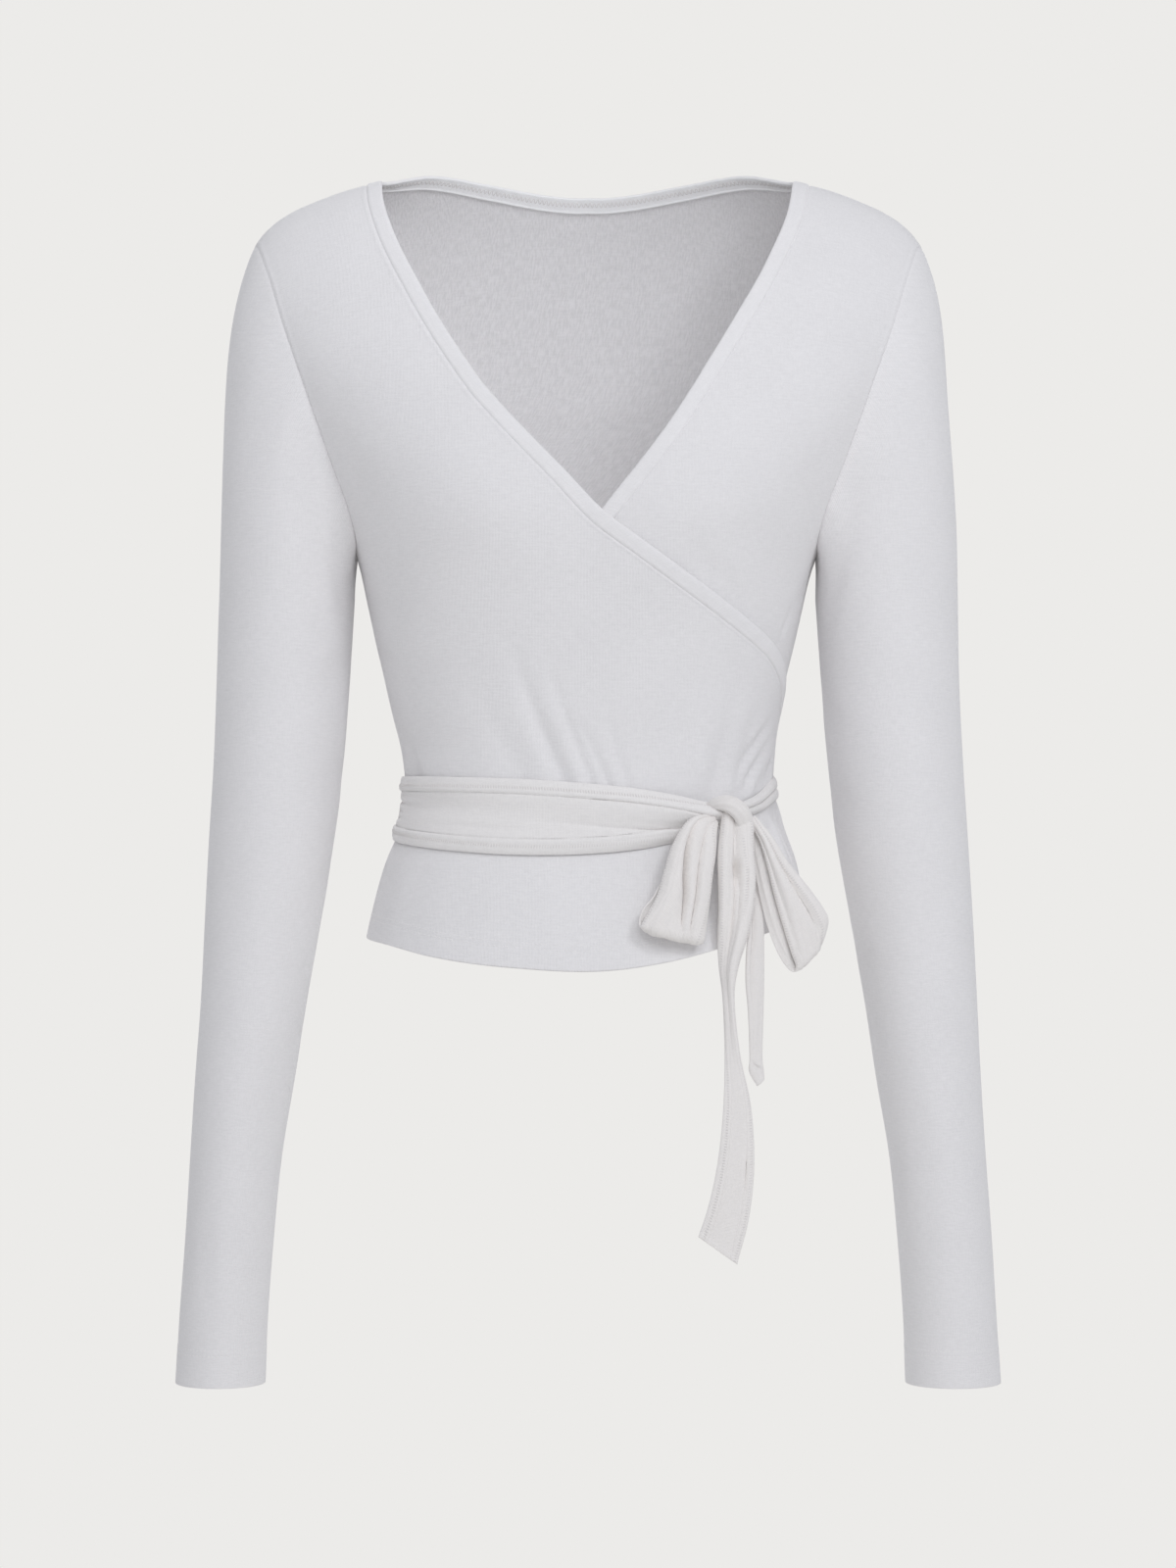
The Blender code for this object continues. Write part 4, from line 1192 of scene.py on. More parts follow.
# Each jersey's face and reverse: material, colour setting, strength of slubs and of ribs. The lighter
# reverses of the body and the bindings carry painted light, and the sash's darker colour is painted
# shade.
JERSEYS = {
    "body": (
        ("body_jersey", "body_colour", 1.0, 0.75),
        ("body_jersey_reverse", "reverse_painted_light_colour", 1.3, 3.2),
    ),
    "binding": (
        ("binding_jersey", "binding_colour", 0.6, 0.75),
        ("binding_reverse", "binding_reverse_painted_light_colour", 0.6, 0.75),
    ),
    "sash": (
        ("sash_jersey", "sash_painted_shade_colour", 0.8, 0.75),
        ("sash_jersey_reverse", "sash_painted_shade_colour", 1.2, 0.75),
    ),
    "bow": (
        ("band_jersey", "band_colour", 0.6, 0.75),
        ("band_jersey_reverse", "band_colour", 1.2, 0.75),
    ),
}
# The sewing thread of each slot, with its colour setting. The band thread's darker colour is painted
# shade between the stitches.
THREADS = {
    "jersey": ("sewing_thread", "thread_colour"),
    "jersey_band": ("band_thread", "band_thread_painted_shade_colour"),
}


def jersey_sides(cut):
    """The materials of a jersey's face and reverse, made when they are first asked for."""
    look = bpy.context.scene.wrap_top_cloth
    return [
        bpy.data.materials.get(name) or jersey(name, tuple(getattr(look, colour)), look, slub, rib)
        for name, colour, slub, rib in JERSEYS[cut]
    ]


def sewing_thread(slot):
    """The material of a slot's stitches, made when it is first asked for."""
    look = bpy.context.scene.wrap_top_cloth
    name, colour = THREADS[slot]
    return bpy.data.materials.get(name) or thread_finish(name, getattr(look, colour))


# ---------------------------------------------------------------- finishing a piece
def finish_cloth(cloth, cut):
    made = cloth.object
    for material in jersey_sides(cut):
        made.data.materials.append(material)
    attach(made, BODY_NAME)
    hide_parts(cloth.name)
    made.name = "cloth_" + cloth.name
    return made


def finish_stitches(sewing, name, slot):
    made = sewing.make(name)
    made.data.materials.append(sewing_thread(slot))
    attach(made, BODY_NAME)
    return made


# ---------------------------------------------------------------- body panels
def layer_fade(level):
    """The layers meet at the shoulder, so that what lies between them fades out there."""
    return np.minimum(1.0, (TOP - level) / LAYER_FADE)


def over_layer(turn, level):
    return OVER_OUT * (1 + turn / 90.0) * layer_fade(level)


def under_layer(turn, level):
    return UNDER_IN * (turn / 90.0 - 1) * layer_fade(level)


def flush_layer(turn, level):
    return np.zeros(np.broadcast(turn, level).shape)


def under_seam(turn, level):
    """The highest levels that leave room for the shoulder seam."""
    return TOP - SEAM / 2 / np.linalg.norm(slopes(turn, level)[1], axis=-1)


# The lower half of a panel's rows goes up its side seam and the upper half up its armhole.
UNDERARM = 0.5
SIDE_SEAM = 211.0
ARMHOLE = 240.0
HEM_FINE = 17.0  # the rows are close together up to here
HEM_STEP = 0.75
LOWER_ROWS = 78
UPPER_ROWS = 84


def row_places():
    """Places of a panel's rows from 0 at the hem over the underarm to 1 at the shoulder."""
    hem = np.arange(0, HEM_FINE, HEM_STEP)[1:] / SIDE_SEAM / 2
    edge = np.array(EDGE_STEPS[:3]) / SIDE_SEAM / 2
    lower = np.linspace(HEM_FINE / SIDE_SEAM / 2, UNDERARM, LOWER_ROWS)
    upper = np.linspace(UNDERARM, 1.0, UPPER_ROWS)[1:]
    top = 1.0 - np.array(EDGE_STEPS[:4])[::-1] / ARMHOLE / 2
    return np.unique(np.concatenate(([0.0], edge, hem, lower, upper, top)))


def side_edge(side, back):
    """The edge of a panel along the side seam and the armhole, from hem to shoulder."""
    arm = ARM_EDGES[(side, back)]
    seam_turn = 180 - side * 90 if back else side * 90
    toward = side if back else -side

    def at(part):
        part = np.asarray(part, float)
        hem = HEM_LINE(np.array(float(seam_turn)))[..., 0]
        low_level = hem + (ARMHOLE_FRONT[-1][1] - hem) * part / UNDERARM
        arm_turn, arm_level = arm.at(np.clip(1 - (part - UNDERARM) / (1 - UNDERARM), 0, 1))
        turn = np.where(part <= UNDERARM, seam_turn, arm_turn)
        level = np.where(part <= UNDERARM, low_level, arm_level)
        by_turn = slopes(turn, level)[0]
        level = np.minimum(level, under_seam(turn, level))
        turn = turn + toward * SEAM / 2 / np.linalg.norm(by_turn, axis=-1)
        return np.stack((turn, level), axis=-1)

    return at


def free_edge(edge, width):
    """The edge of a front beside its binding, from hem to shoulder."""

    def at(part):
        part = np.asarray(part, float)
        turn, level = edge.inset(1 - part, width)
        limit = under_seam(turn, level)
        level = np.where(part > 1 - SMALL, limit, np.minimum(level, limit))
        return np.stack((turn, level), axis=-1)

    return at


NECK_SHARE = 5 / 26  # share of the back's top that each shoulder seam takes


def back_top(share):
    """The top of the back: shoulder seam, neck edge below its binding, shoulder seam."""
    turns = (180 - ARMHOLE_BACK[0][0], 180 + ARMHOLE_BACK[0][0])
    part = (share - NECK_SHARE) / (1 - 2 * NECK_SHARE)
    neck_turn, neck_level = NECK.inset(np.clip(part, 0.0, 1.0), -(BINDING + SEAM))
    neck_level = np.where((part < SMALL) | (part > 1 - SMALL), TOP, neck_level)
    ends = NECK.inset(np.array((0.0, 1.0)), -(BINDING + SEAM))[0]
    left = turns[0] + (ends[0] - turns[0]) * share / NECK_SHARE
    right = turns[1] + (ends[1] - turns[1]) * (1 - share) / NECK_SHARE
    turn = np.where(part < 0, left, np.where(part > 1, right, neck_turn))
    level = np.where((part < 0) | (part > 1), TOP, neck_level)
    return np.stack((turn, np.minimum(level, under_seam(turn, level))), axis=-1)


def panel_grid(left_at, right_at, top_at, parts, shares):
    """Turns and levels of a body panel's grid between its two edges."""
    left = left_at(parts)[:, None, :]
    right = right_at(parts)[:, None, :]
    share = shares[None, :, None]
    place = left + (right - left) * share
    low = left_at(0.0) + (right_at(0.0) - left_at(0.0)) * shares[:, None]
    hem = HEM_LINE(low[:, 0])[:, 0] - low[:, 1]
    place[..., 1] += np.maximum(0.0, 1 - parts / UNDERARM)[:, None] ** 2 * hem
    if top_at is not None:
        straight = left_at(1.0) + (right_at(1.0) - left_at(1.0)) * shares[:, None]
        rise = np.maximum(0.0, (parts - UNDERARM) / (1 - UNDERARM)) ** 2
        place += rise[:, None, None] * (top_at(shares) - straight)
    return place[..., 0], place[..., 1]


def hem_form(distance, depth, lines):
    """How far a turned hem stands out, and how much of its turning lies at a distance."""
    turned = within(distance, depth)
    out = HEM_EXTRA / 2 * turned
    for line in lines:
        out -= GROOVE_DEEP * bell(distance, line, GROOVE)
    return out, turned


def body_panel(name, left_at, right_at, top_at, shares, layer, table):
    """A body panel with its creases, turned hem and rolled seam edges."""
    turn, level = panel_grid(left_at, right_at, top_at, row_places(), shares)
    form = skin(turn, level)
    hem, top, left, right = from_edges(form)
    across = girth(turn, level)
    out, turned = hem_form(hem, HEM_DEPTH, HEM_LINES)
    out += layer(turn, level) + creases(across, level, table, girth)
    seam = np.minimum(np.minimum(left, right), top)
    out += SEAM_RIDGE * bell(seam, SEAM_RIDGE_AWAY, ROLL) - ROLL_DEEP * bell(seam, 0.0, ROLL)
    wall = CLOTH + HEM_EXTRA * turned
    outward = normal(turn, level)
    middle = form + (out - wall / 2)[..., None] * outward
    flat_map = np.stack((across, level), axis=-1)
    return Cloth(name, middle, wall * lip(hem, CLOTH), flat_map, outward)


# ---------------------------------------------------------------- bindings
BINDING_ROLL = (0.0, 0.12, 0.35, 0.7, 1.2, 2.0, 3.0, 4.2, 5.4, 6.4, 7.1, 7.6, 8.0, 8.3, 8.5)
BINDING_CROWN = 0.5  # how much higher its middle is than its sides
BINDING_CREST = 4.0  # distance of the crown from the free edge
# Height, distance from the seam and half width of the ridge and the groove beside it.
BINDING_SEAM = ((0.15, 1.3, 0.8), (-0.7, 0.0, 0.45))
PUCKER = 0.06
PUCKER_RATES = (1.3, 0.31, 0.47)  # of its fast wave, of that wave's sway and of its slow wave
PUCKER_SWAY = 0.8
BINDING_FOLDS = 0.6  # what its folds add to the thickness
BINDING_LIPS = (2.2, 0.7)
STAND_WIDTH = 8.0  # the standing edge leans over this width
STAND_START = 45.0  # and rises over this length from the shoulder


def binding(name, edge, inward, layer, places, shoulders, stand=0.0):
    """A folded strip round a free edge: a soft roll at the edge and a ridge at its seam."""
    widths = np.array(BINDING_ROLL)
    turn, level = edge.inset(places[:, None] + 0 * widths, inward * widths[None, :])
    limit = under_seam(turn, level)
    ends = np.zeros(len(places), bool)
    for shoulder in shoulders:
        ends |= np.abs(places - shoulder) < SMALL
    level = np.where(ends[:, None], limit, np.minimum(level, limit))
    form = skin(turn, level)
    first, last, free, seam = from_edges(form)
    crown = 1 - np.abs((free - BINDING_CREST) / (BINDING - BINDING_CREST)) ** 3
    fast, sway, slow = (first * rate for rate in PUCKER_RATES)
    pucker = np.sin(fast + PUCKER_SWAY * np.sin(sway)) + np.sin(slow)
    out = layer(turn, level) + BINDING_PROUD + (BINDING_CROWN + PUCKER * pucker) * crown
    for height, away, width in BINDING_SEAM:
        out += height * bell(seam, away, width)
    upright = np.clip(1 - free / STAND_WIDTH, 0, 1)
    out += stand * upright * smooth(np.minimum(first, last) / STAND_START)
    wall = np.full(turn.shape, CLOTH + 2 * BINDING_PROUD + BINDING_FOLDS)
    outward = normal(turn, level)
    middle = form + (out - wall / 2)[..., None] * outward
    flat_map = np.stack((first, free), axis=-1)
    edges = lip(free, BINDING_LIPS[0]) * lip(seam, BINDING_LIPS[1])
    return Cloth(name, middle, wall * edges, flat_map, outward)


# ---------------------------------------------------------------- sleeves
ARM_LOOK = 0.01  # step along an armhole over which its direction is taken


def armhole_points(place, side):
    """Points of the sleeve's first ring: 0 the shoulder tip, 1 the underarm, 2 the tip."""

    def at(where):
        where = np.mod(where, 2.0)
        front = np.stack(ARM_EDGES[(side, False)].at(np.minimum(where, 1.0)), axis=-1)
        back = np.stack(ARM_EDGES[(side, True)].at(np.minimum(2 - where, 1.0)), axis=-1)
        both = np.where(where[:, None] <= 1, front, back)
        return both[:, 0], both[:, 1]

    turn, level = at(place)
    ahead = skin(*at(place + ARM_LOOK)) - skin(*at(place - ARM_LOOK))
    facing = normal(turn, level)
    aside = side * unit(np.cross(facing, ahead))
    lean = np.pi / 2 * np.minimum(place, 2 - place) ** 2
    layer = under_layer(turn, level) if side > 0 else over_layer(turn, level)
    out = np.where(place > 1, 0.0, layer) - ROLL_DEEP * np.cos(lean)
    gap = SEAM / 2 * np.cos(lean)[:, None] * aside + SEAM * np.sin(lean)[:, None] * facing
    return skin(turn, level) + out[:, None] * facing + gap


def sleeve_sections(level, angle, side):
    """Points of level sections of a sleeve: angle 0 is the outer side, 90 the front."""
    values = np.moveaxis(SLEEVE_LINE(level), -1, 0)
    outer_x, inner_x = (values[2], values[3]) if side > 0 else (values[0], values[1])
    front_y, back_y = values[4], values[5]
    x = (outer_x + inner_x) / 2 + (outer_x - inner_x) / 2 * np.cos(angle)
    y = (front_y + back_y) / 2 - (back_y - front_y) / 2 * np.sin(angle)
    return np.stack((side * x, y, level + 0 * x), axis=-1)


SLEEVE_COLUMNS = 120
SLEEVE_ROWS = 110
SLEEVE_RADIUS = 42.0  # of the tube on which its creases and its map are laid out
CAP_LENGTH = 190.0
CAP_STEP = 3.2
CAP_LEAVE = 0.8  # how far the cap keeps the direction in which it leaves the armhole
CAP_ARRIVE = 0.02  # how far it leans outwards where it meets the upper arm
CAP_FLAT = 14.0  # the creases begin over this distance from the armhole
CUFF_FINE = 2.2  # the rows are close together from this far above the turned cuff
CUFF_STEP = 0.8


def sleeve(name, side, table):
    """A set-in sleeve, from the armhole down to its turned cuff."""
    place = 2 * np.arange(SLEEVE_COLUMNS) / SLEEVE_COLUMNS
    angle = np.pi * place
    upper_arm = float(SLEEVE[-1][0])
    arm_length = upper_arm - float(SLEEVE[0][0])
    begin = armhole_points(place, side)
    leave = START_LINE(np.minimum(place, 2 - place))
    leave = unit(np.column_stack((side * leave[:, 0], 0 * place, -leave[:, 1])))
    end = sleeve_sections(np.full(SLEEVE_COLUMNS, upper_arm), angle, side)
    arrive = np.array((side * CAP_ARRIVE, 0, -1.0))
    reach = np.linalg.norm(end - begin, axis=1)[None, :, None]
    part = spaced(CAP_LENGTH, CAP_STEP, fine_stop=False)[:-1, None, None]
    cap = curve(part, begin, reach * CAP_LEAVE * leave, end, reach * arrive)
    fine = arm_length - CUFF_DEPTH - CUFF_FINE
    down = np.concatenate(
        (
            np.linspace(0, fine, SLEEVE_ROWS)[:-1],
            np.arange(fine, arm_length - EDGE_STEPS[3], CUFF_STEP),
            arm_length - np.array(EDGE_STEPS[:4])[::-1],
            [arm_length],
        )
    )
    arm = sleeve_sections((upper_arm - down)[:, None], angle[None, :], side)
    form = np.concatenate((cap, arm))
    top, hem = from_edges(form)[:2]
    facing = grid_normals(form, tube=True)
    centre = np.mean(form, axis=1, keepdims=True)
    if np.sum(facing * (form - centre)) < 0:
        facing = -facing
    around = np.degrees(angle)[None, :] + 0 * top
    lift = np.zeros(top.shape)
    for shift in (-360.0, 0.0, 360.0):
        lift += creases(
            np.radians(around + shift) * SLEEVE_RADIUS,
            form[..., 2],
            table,
            lambda turn, height: math.radians(turn) * SLEEVE_RADIUS,
        )
    out, turned = hem_form(hem, CUFF_DEPTH, CUFF_LINES)
    out += lift * smooth(top / CAP_FLAT) + ROLL_DEEP * (1 - bell(top, 0.0, ROLL))
    wall = CLOTH + HEM_EXTRA * turned
    middle = form + (out - wall / 2)[..., None] * facing
    closed = np.concatenate((around, around[:, :1] + 360.0), axis=1)
    height = np.concatenate((form[..., 2], form[:, :1, 2]), axis=1)
    flat_map = np.stack((np.radians(closed) * SLEEVE_RADIUS, height), axis=-1)
    return Cloth(name, middle, wall * lip(hem, CLOTH), flat_map, facing, tube=True)


# ---------------------------------------------------------------- sash
OVER_END = float(OVER_EDGE[-1][0])  # turn at which the outer front ends below the sash
OVER_END_FADE = 22.0
KNOT_TURN = 47.0  # the sash runs into the knot from both sides of this turn
SASH_WIDTH = 41.0
SASH_LOWER_SWELL = 0.4  # how full the lower fold is beside the upper one
SASH_RISE = 6.0  # how far the sash is lifted where it runs into the knot
TURN_LENGTH = 1.75  # length round the waist for one degree of turn
# Where the sash rises to the knot: the turn at which it starts, the degrees over which it
# grows and its share of the whole rise.
RISE_RIGHT = (14.0, 28.0, 1.0)
RISE_LEFT = (68.0, -20.0, 0.4)
RISE_START = 0.03
RISE_WIDTH = 0.45
# How steeply the cloth comes up from the lower and the upper edge, and how high it starts.
HUG = ((4.0, 0.06), (4.0, 0.06))
FULL = ((7.0, 0.05), (4.0, 0.06))
CLEAR_LEAN = 0.6  # how much closer the upper edge lies than the lower one
SWELL_CLEAR = 0.2  # share of the swell by which the sash stands off further
SWELL_WALL = 0.15  # share of the swell that thickens the wall
SWELL_SOFT = 0.01  # softens the bottom of the furrow between the two folds
TURNED_MOST = (0.55, 0.9)  # a turned edge takes no more of the upper and the lower fold
TURNED_HIGH = 0.95
TURNED_STEP = 0.9
# Height, distance past the turned edge's end and half width of its bead and its groove.
TURNED_FORMS = ((0.35, -1.0, 0.8), (-0.4, 0.7, 0.5))
SASH_ROLL = 1.4
SASH_ROLL_DEEP = (0.6, 1.0)  # at the upper and the lower edge
# Its lower edge thins from a turn on, over some degrees, and up to a height: by how much its
# wall is thinner there, and how many times as far its face lies further in.
SLIM_START = 6.0
SLIM_GROW = 18.0
SLIM_HIGH = 3.5
SASH_SLIM = 0.7
SLIM_IN = 1.5
SASH_LIP = 1.2


def sash_base(turn):
    """How far the outer front, which ends at the side, holds the sash off the form."""
    behind = np.maximum(0.0, 1 - (turn - OVER_END) / OVER_END_FADE)
    return OVER_OUT * np.where(turn <= OVER_END, 1 + turn / 90.0, (1 + OVER_END / 90.0) * behind)


def from_sash_edges(place, lower, upper):
    """1 over most of the sash's width and less towards its lower and upper edges."""
    from_low = lower[0] * (place + lower[1])
    from_high = upper[0] * (1 - place + upper[1])
    return np.minimum(1.0, np.minimum(from_low, from_high))


def sash_folds(place, fold, swell):
    """The swell of the two folds of the sash, which meet at the place of the fold."""
    lower = np.sqrt(np.clip(place / fold, 0.0, 1.0))
    half = np.where(place < fold, lower, 1 + (place - fold) / (1 - fold)) / 2
    share = np.where(place < fold, SASH_LOWER_SWELL, 1.0)
    return share * swell * np.sqrt(np.sin(2 * np.pi * half) ** 2 + SWELL_SOFT)


def sash_rise(turn, place, fold):
    """How far the sash is lifted where it runs into the knot, as a share."""
    right, left = (
        share * smooth((turn - start) / grow) for start, grow, share in (RISE_RIGHT, RISE_LEFT)
    )
    before = turn < KNOT_TURN
    above = smooth((place - fold / 2 * before + RISE_START) / RISE_WIDTH)
    return np.where(before, right, left) * above


def sash(name, table, step, rows, turned_edge, thickness):
    """A stretch of sash with turned, stitched edges and its own creases."""
    line = Line(table)
    span = table[-1][0] - table[0][0]
    turns = table[0][0] + span * spaced(span * TURN_LENGTH, step)
    places = spaced(SASH_WIDTH, SASH_WIDTH / rows)
    turn = turns[None, :] + 0 * places[:, None]
    place = places[:, None] + 0 * turn
    top, bottom, swell, fold = np.moveaxis(line(turn), -1, 0)
    level = bottom + (top - bottom) * place
    form = skin(turn, level)
    low, high, first, last = from_edges(form)
    bulge = sash_folds(place, fold, swell)
    clear = (1 - CLEAR_LEAN * place) * (SASH_CLEAR + SWELL_CLEAR * swell)
    out = sash_base(turn) + thickness + bulge * from_sash_edges(place, *FULL)
    out += clear * from_sash_edges(place, *HUG) + SASH_RISE * sash_rise(turn, place, fold)
    for turn_1, place_1, turn_2, place_2, width, height, peak in SASH_CREASES:
        part = (turn - turn_1) / (turn_2 - turn_1)
        beside = (place - place_1 - (place_2 - place_1) * part) / width
        out += height * strength(part, peak) * furrow(beside, *SASH_RIM)
    upper = np.minimum(SASH_TURNED, TURNED_MOST[0] * (top - bottom))
    lower = np.minimum(SASH_TURNED, TURNED_MOST[1] * fold * (top - bottom))
    for distance, depth, roll in zip((high, low), (upper, lower), SASH_ROLL_DEEP):
        out += turned_edge * TURNED_HIGH * within(distance, depth, TURNED_STEP)
        for height, beyond, width in TURNED_FORMS:
            out += turned_edge * height * bell(distance, depth + beyond, width)
        out -= roll * bell(distance, 0.0, SASH_ROLL)
    slim = SASH_SLIM * smooth((turn - SLIM_START) / SLIM_GROW) * (turn < KNOT_TURN)
    slim = slim * bell(low, 0.0, SLIM_HIGH)
    out -= SLIM_IN * slim
    wall = thickness + bulge * SWELL_WALL - slim
    outward = normal(turn, level)
    middle = form + (out - wall / 2)[..., None] * outward
    flat_map = np.stack((girth(turn, level), place * SASH_WIDTH), axis=-1)
    edge = np.minimum(np.minimum(low, high), np.minimum(first, last))
    return Cloth(name, middle, wall * lip(edge, SASH_LIP), flat_map, outward)


# ---------------------------------------------------------------- bow
RIBBON_STEP = 0.9  # distance between the rows of its mesh
RIBBON_SAMPLES = 200
STRAND_ROUND = 2.2
CROWN_ROUND = 3
RIBBON_TURNED = 0.45  # what a turned edge of a ribbon adds to its height
RIBBON_GROOVE = 0.6  # distance past the turned edge and half width of the groove there
RIBBON_ROLL = 0.5
END_DEPTH = 2.8  # the turned end of a tail reaches this far up
END_STEP = 0.6
RIBBON_LIP = 1.1


def row_line(table):
    """A smooth line through the rows of a table: 0 is the first row, 1 the next."""
    return Line([(index, *row) for index, row in enumerate(table)])


def strand_edge(first_place, middle_place, last_place, share):
    """Place across a ribbon of a strand's edge, through its first, middle and last place."""
    bend = first_place - 2 * middle_place + last_place
    return first_place + (last_place - first_place) * share - 2 * bend * share * (1 - share)


def ribbon(name, table, strands, turn_row, creased, hems, turned_end, columns):
    """A gathered band through the rows of its table, with its strands and turned edges."""
    line = row_line(table)
    rows = np.linspace(0, len(table) - 1, RIBBON_SAMPLES)
    rough = line(rows)
    run = run_length((rough[:, 0:3] + rough[:, 3:6]) / 2)
    places = np.interp(spaced(run[-1], RIBBON_STEP) * run[-1], run, rows)
    values = line(places)
    breadth = np.linalg.norm(values[:, 3:6] - values[:, 0:3], axis=1)
    width = float(np.max(breadth))
    across = spaced(width, width / columns)
    left = values[:, None, 0:3]
    right = values[:, None, 3:6]
    flat = left + (right - left) * across[None, :, None]
    facing = grid_normals(flat)
    if facing[len(facing) // 6, len(across) // 2, 1] > 0:
        facing = -facing
    share = np.minimum(places / turn_row, 1.0)[:, None]
    gathered = np.zeros(flat.shape[:2])
    for this, following in zip(strands[:-1], strands[1:]):
        begin = strand_edge(*this[:3], share)
        end = strand_edge(*following[:3], share)
        inside = (across[None, :] - begin) / (end - begin)
        arch = 1 - np.abs(2 * inside - 1) ** STRAND_ROUND
        gathered += np.where((inside > 0) & (inside < 1), this[3] * arch, 0.0)
    rounding = 1 - np.abs(2 * across[None, :] - 1) ** CROWN_ROUND
    height = values[:, None, 7] * gathered + values[:, None, 6] * rounding
    for row_1, place_1, row_2, place_2, wide, deep, peak in creased:
        part = (places[:, None] - row_1) / (row_2 - row_1)
        beside = across[None, :] - place_1 - (place_2 - place_1) * part
        height += deep * strength(part, peak) * bell(beside * breadth[:, None] / wide)
    first, last, low, high = from_edges(flat)
    narrow = np.minimum(1.0, breadth / RIBBON_FULL)[:, None]
    for distance, hem in zip((low, high), hems):
        reach = hem * narrow
        height += RIBBON_TURNED * within(distance, reach) * narrow
        height -= GROOVE_DEEP * bell(distance, reach + RIBBON_GROOVE, RIBBON_GROOVE) * narrow
        height -= RIBBON_ROLL * bell(distance)
    height += turned_end * RIBBON_TURNED * within(last, END_DEPTH, END_STEP)
    middle = flat + facing * height[..., None]
    flat_map = np.stack((first, low * SASH_WIDTH / width), axis=-1)
    nearest = np.minimum(np.minimum(low, high), np.minimum(first, last))
    return Cloth(name, middle, RIBBON_WALL * lip(nearest, RIBBON_LIP), flat_map, facing)


KNOT_RINGS = 60
KNOT_SIDES = 64
KNOT_PLEATS = 4
PLEAT_DEEP = 0.10
PLEAT_SHIFT = 0.6
KNOT_FACING = (0.35, -1.0, 0.0)
KNOT_LOOK = 0.1  # part of a row over which the knot's direction is taken
KNOT_MAP = (0.8, 1.0)  # one side and one ring on its flat map


def knot(name, table):
    """The turn of sash over the knot: a rounded band with pleats along it."""
    line = row_line(table)
    top = len(table) - 1
    place = np.linspace(0, top, KNOT_RINGS)
    values = line(place)
    run = line(np.minimum(place + KNOT_LOOK, top)) - line(np.maximum(place - KNOT_LOOK, 0))
    along = unit(run[:, 0:3])
    out = unit(np.cross(along, np.cross(np.array(KNOT_FACING), along)))
    across = np.cross(along, out)
    angle = 2 * np.pi * np.arange(KNOT_SIDES) / KNOT_SIDES
    front = np.maximum(np.sin(angle), 0.0)
    pleat = 1 - PLEAT_DEEP * front * np.sin(angle * KNOT_PLEATS + PLEAT_SHIFT) ** 2
    points = (
        values[:, None, 0:3]
        + across[:, None, :] * (values[:, 3:4] * np.cos(angle) * pleat)[..., None]
        + out[:, None, :] * (values[:, 4:5] * np.sin(angle) * pleat)[..., None]
    )
    last = (KNOT_RINGS - 1) * KNOT_SIDES
    faces, spots = (each[:last] for each in grid_faces(KNOT_RINGS, KNOT_SIDES, tube=True))
    ends = [list(reversed(range(KNOT_SIDES))), list(range(last, last + KNOT_SIDES))]
    columns, rows = np.meshgrid(np.arange(KNOT_SIDES + 1), np.arange(KNOT_RINGS))
    flat_map = np.stack((columns * KNOT_MAP[0], rows * KNOT_MAP[1]), axis=-1)
    end_map = np.zeros((2 * KNOT_SIDES, 2))
    corner_map = np.concatenate((flat_map.reshape(-1, 2)[spots.ravel()], end_map))
    return make_object(name, points.reshape(-1, 3), faces.tolist() + ends, corner_map)


# ---------------------------------------------------------------- settings
class WrapTopCloth(bpy.types.PropertyGroup):
    """Yarn, knit and colours of the jersey"""

    wale: FloatProperty(
        name="Rib spacing",
        description="Distance from one rib of loops to the next",
        default=0.00078,
        unit="LENGTH",
    )
    course: FloatProperty(
        name="Row spacing",
        description="Distance from one row of loops to the next",
        default=0.0006,
        unit="LENGTH",
    )
    relief: FloatProperty(
        name="Relief",
        description="How strongly the loops and slubs show",
        default=0.5,
        subtype="FACTOR",
    )
    nap: FloatProperty(
        name="Nap",
        description="Soft sheen of the fibre ends",
        default=0.4,
        subtype="FACTOR",
    )
    body_colour: FloatVectorProperty(
        name="Body colour",
        description="Colour of the fronts, back and sleeves",
        subtype="COLOR",
        default=(0.885, 0.870, 0.872),
    )
    # Lighter than the body colour: painted light on the inside of the fronts, back and sleeves, which
    # lifts the shade inside the neck opening.
    reverse_painted_light_colour: FloatVectorProperty(
        name="Reverse colour",
        description="Colour of the inside of the fronts, back and sleeves",
        subtype="COLOR",
        default=(0.921, 0.906, 0.912),
    )
    # Much lighter than the binding colour: painted light on the inner side of the neck bindings, which
    # lifts the shade on the inside of the back neck.
    binding_reverse_painted_light_colour: FloatVectorProperty(
        name="Binding reverse colour",
        description="Colour of the inner side of the neck bindings",
        subtype="COLOR",
        default=(0.975, 0.965, 0.965),
    )
    binding_colour: FloatVectorProperty(
        name="Binding colour",
        description="Colour of the neck bindings",
        subtype="COLOR",
        default=(0.910, 0.895, 0.897),
    )
    # The sash is the bow's cloth; this darker copy of the bow colour is painted shade on the sash.
    sash_painted_shade_colour: FloatVectorProperty(
        name="Sash colour",
        description="Colour of the sash round the waist",
        subtype="COLOR",
        default=(0.899, 0.876, 0.860),
    )
    band_colour: FloatVectorProperty(
        name="Bow colour",
        description="Colour of the bow",
        subtype="COLOR",
        default=(0.918, 0.886, 0.860),
    )
    thread_colour: FloatVectorProperty(
        name="Thread colour",
        description="Colour of the stitches",
        subtype="COLOR",
        default=(0.930, 0.914, 0.902),
    )
    # Darker than the cloth: real thread whose darkness is painted shade, standing in for the shadows
    # between the stitches.
    band_thread_painted_shade_colour: FloatVectorProperty(
        name="Band thread colour",
        description="Colour of the stitches of the sash, bow and bindings",
        subtype="COLOR",
        default=(0.780, 0.755, 0.740),
    )


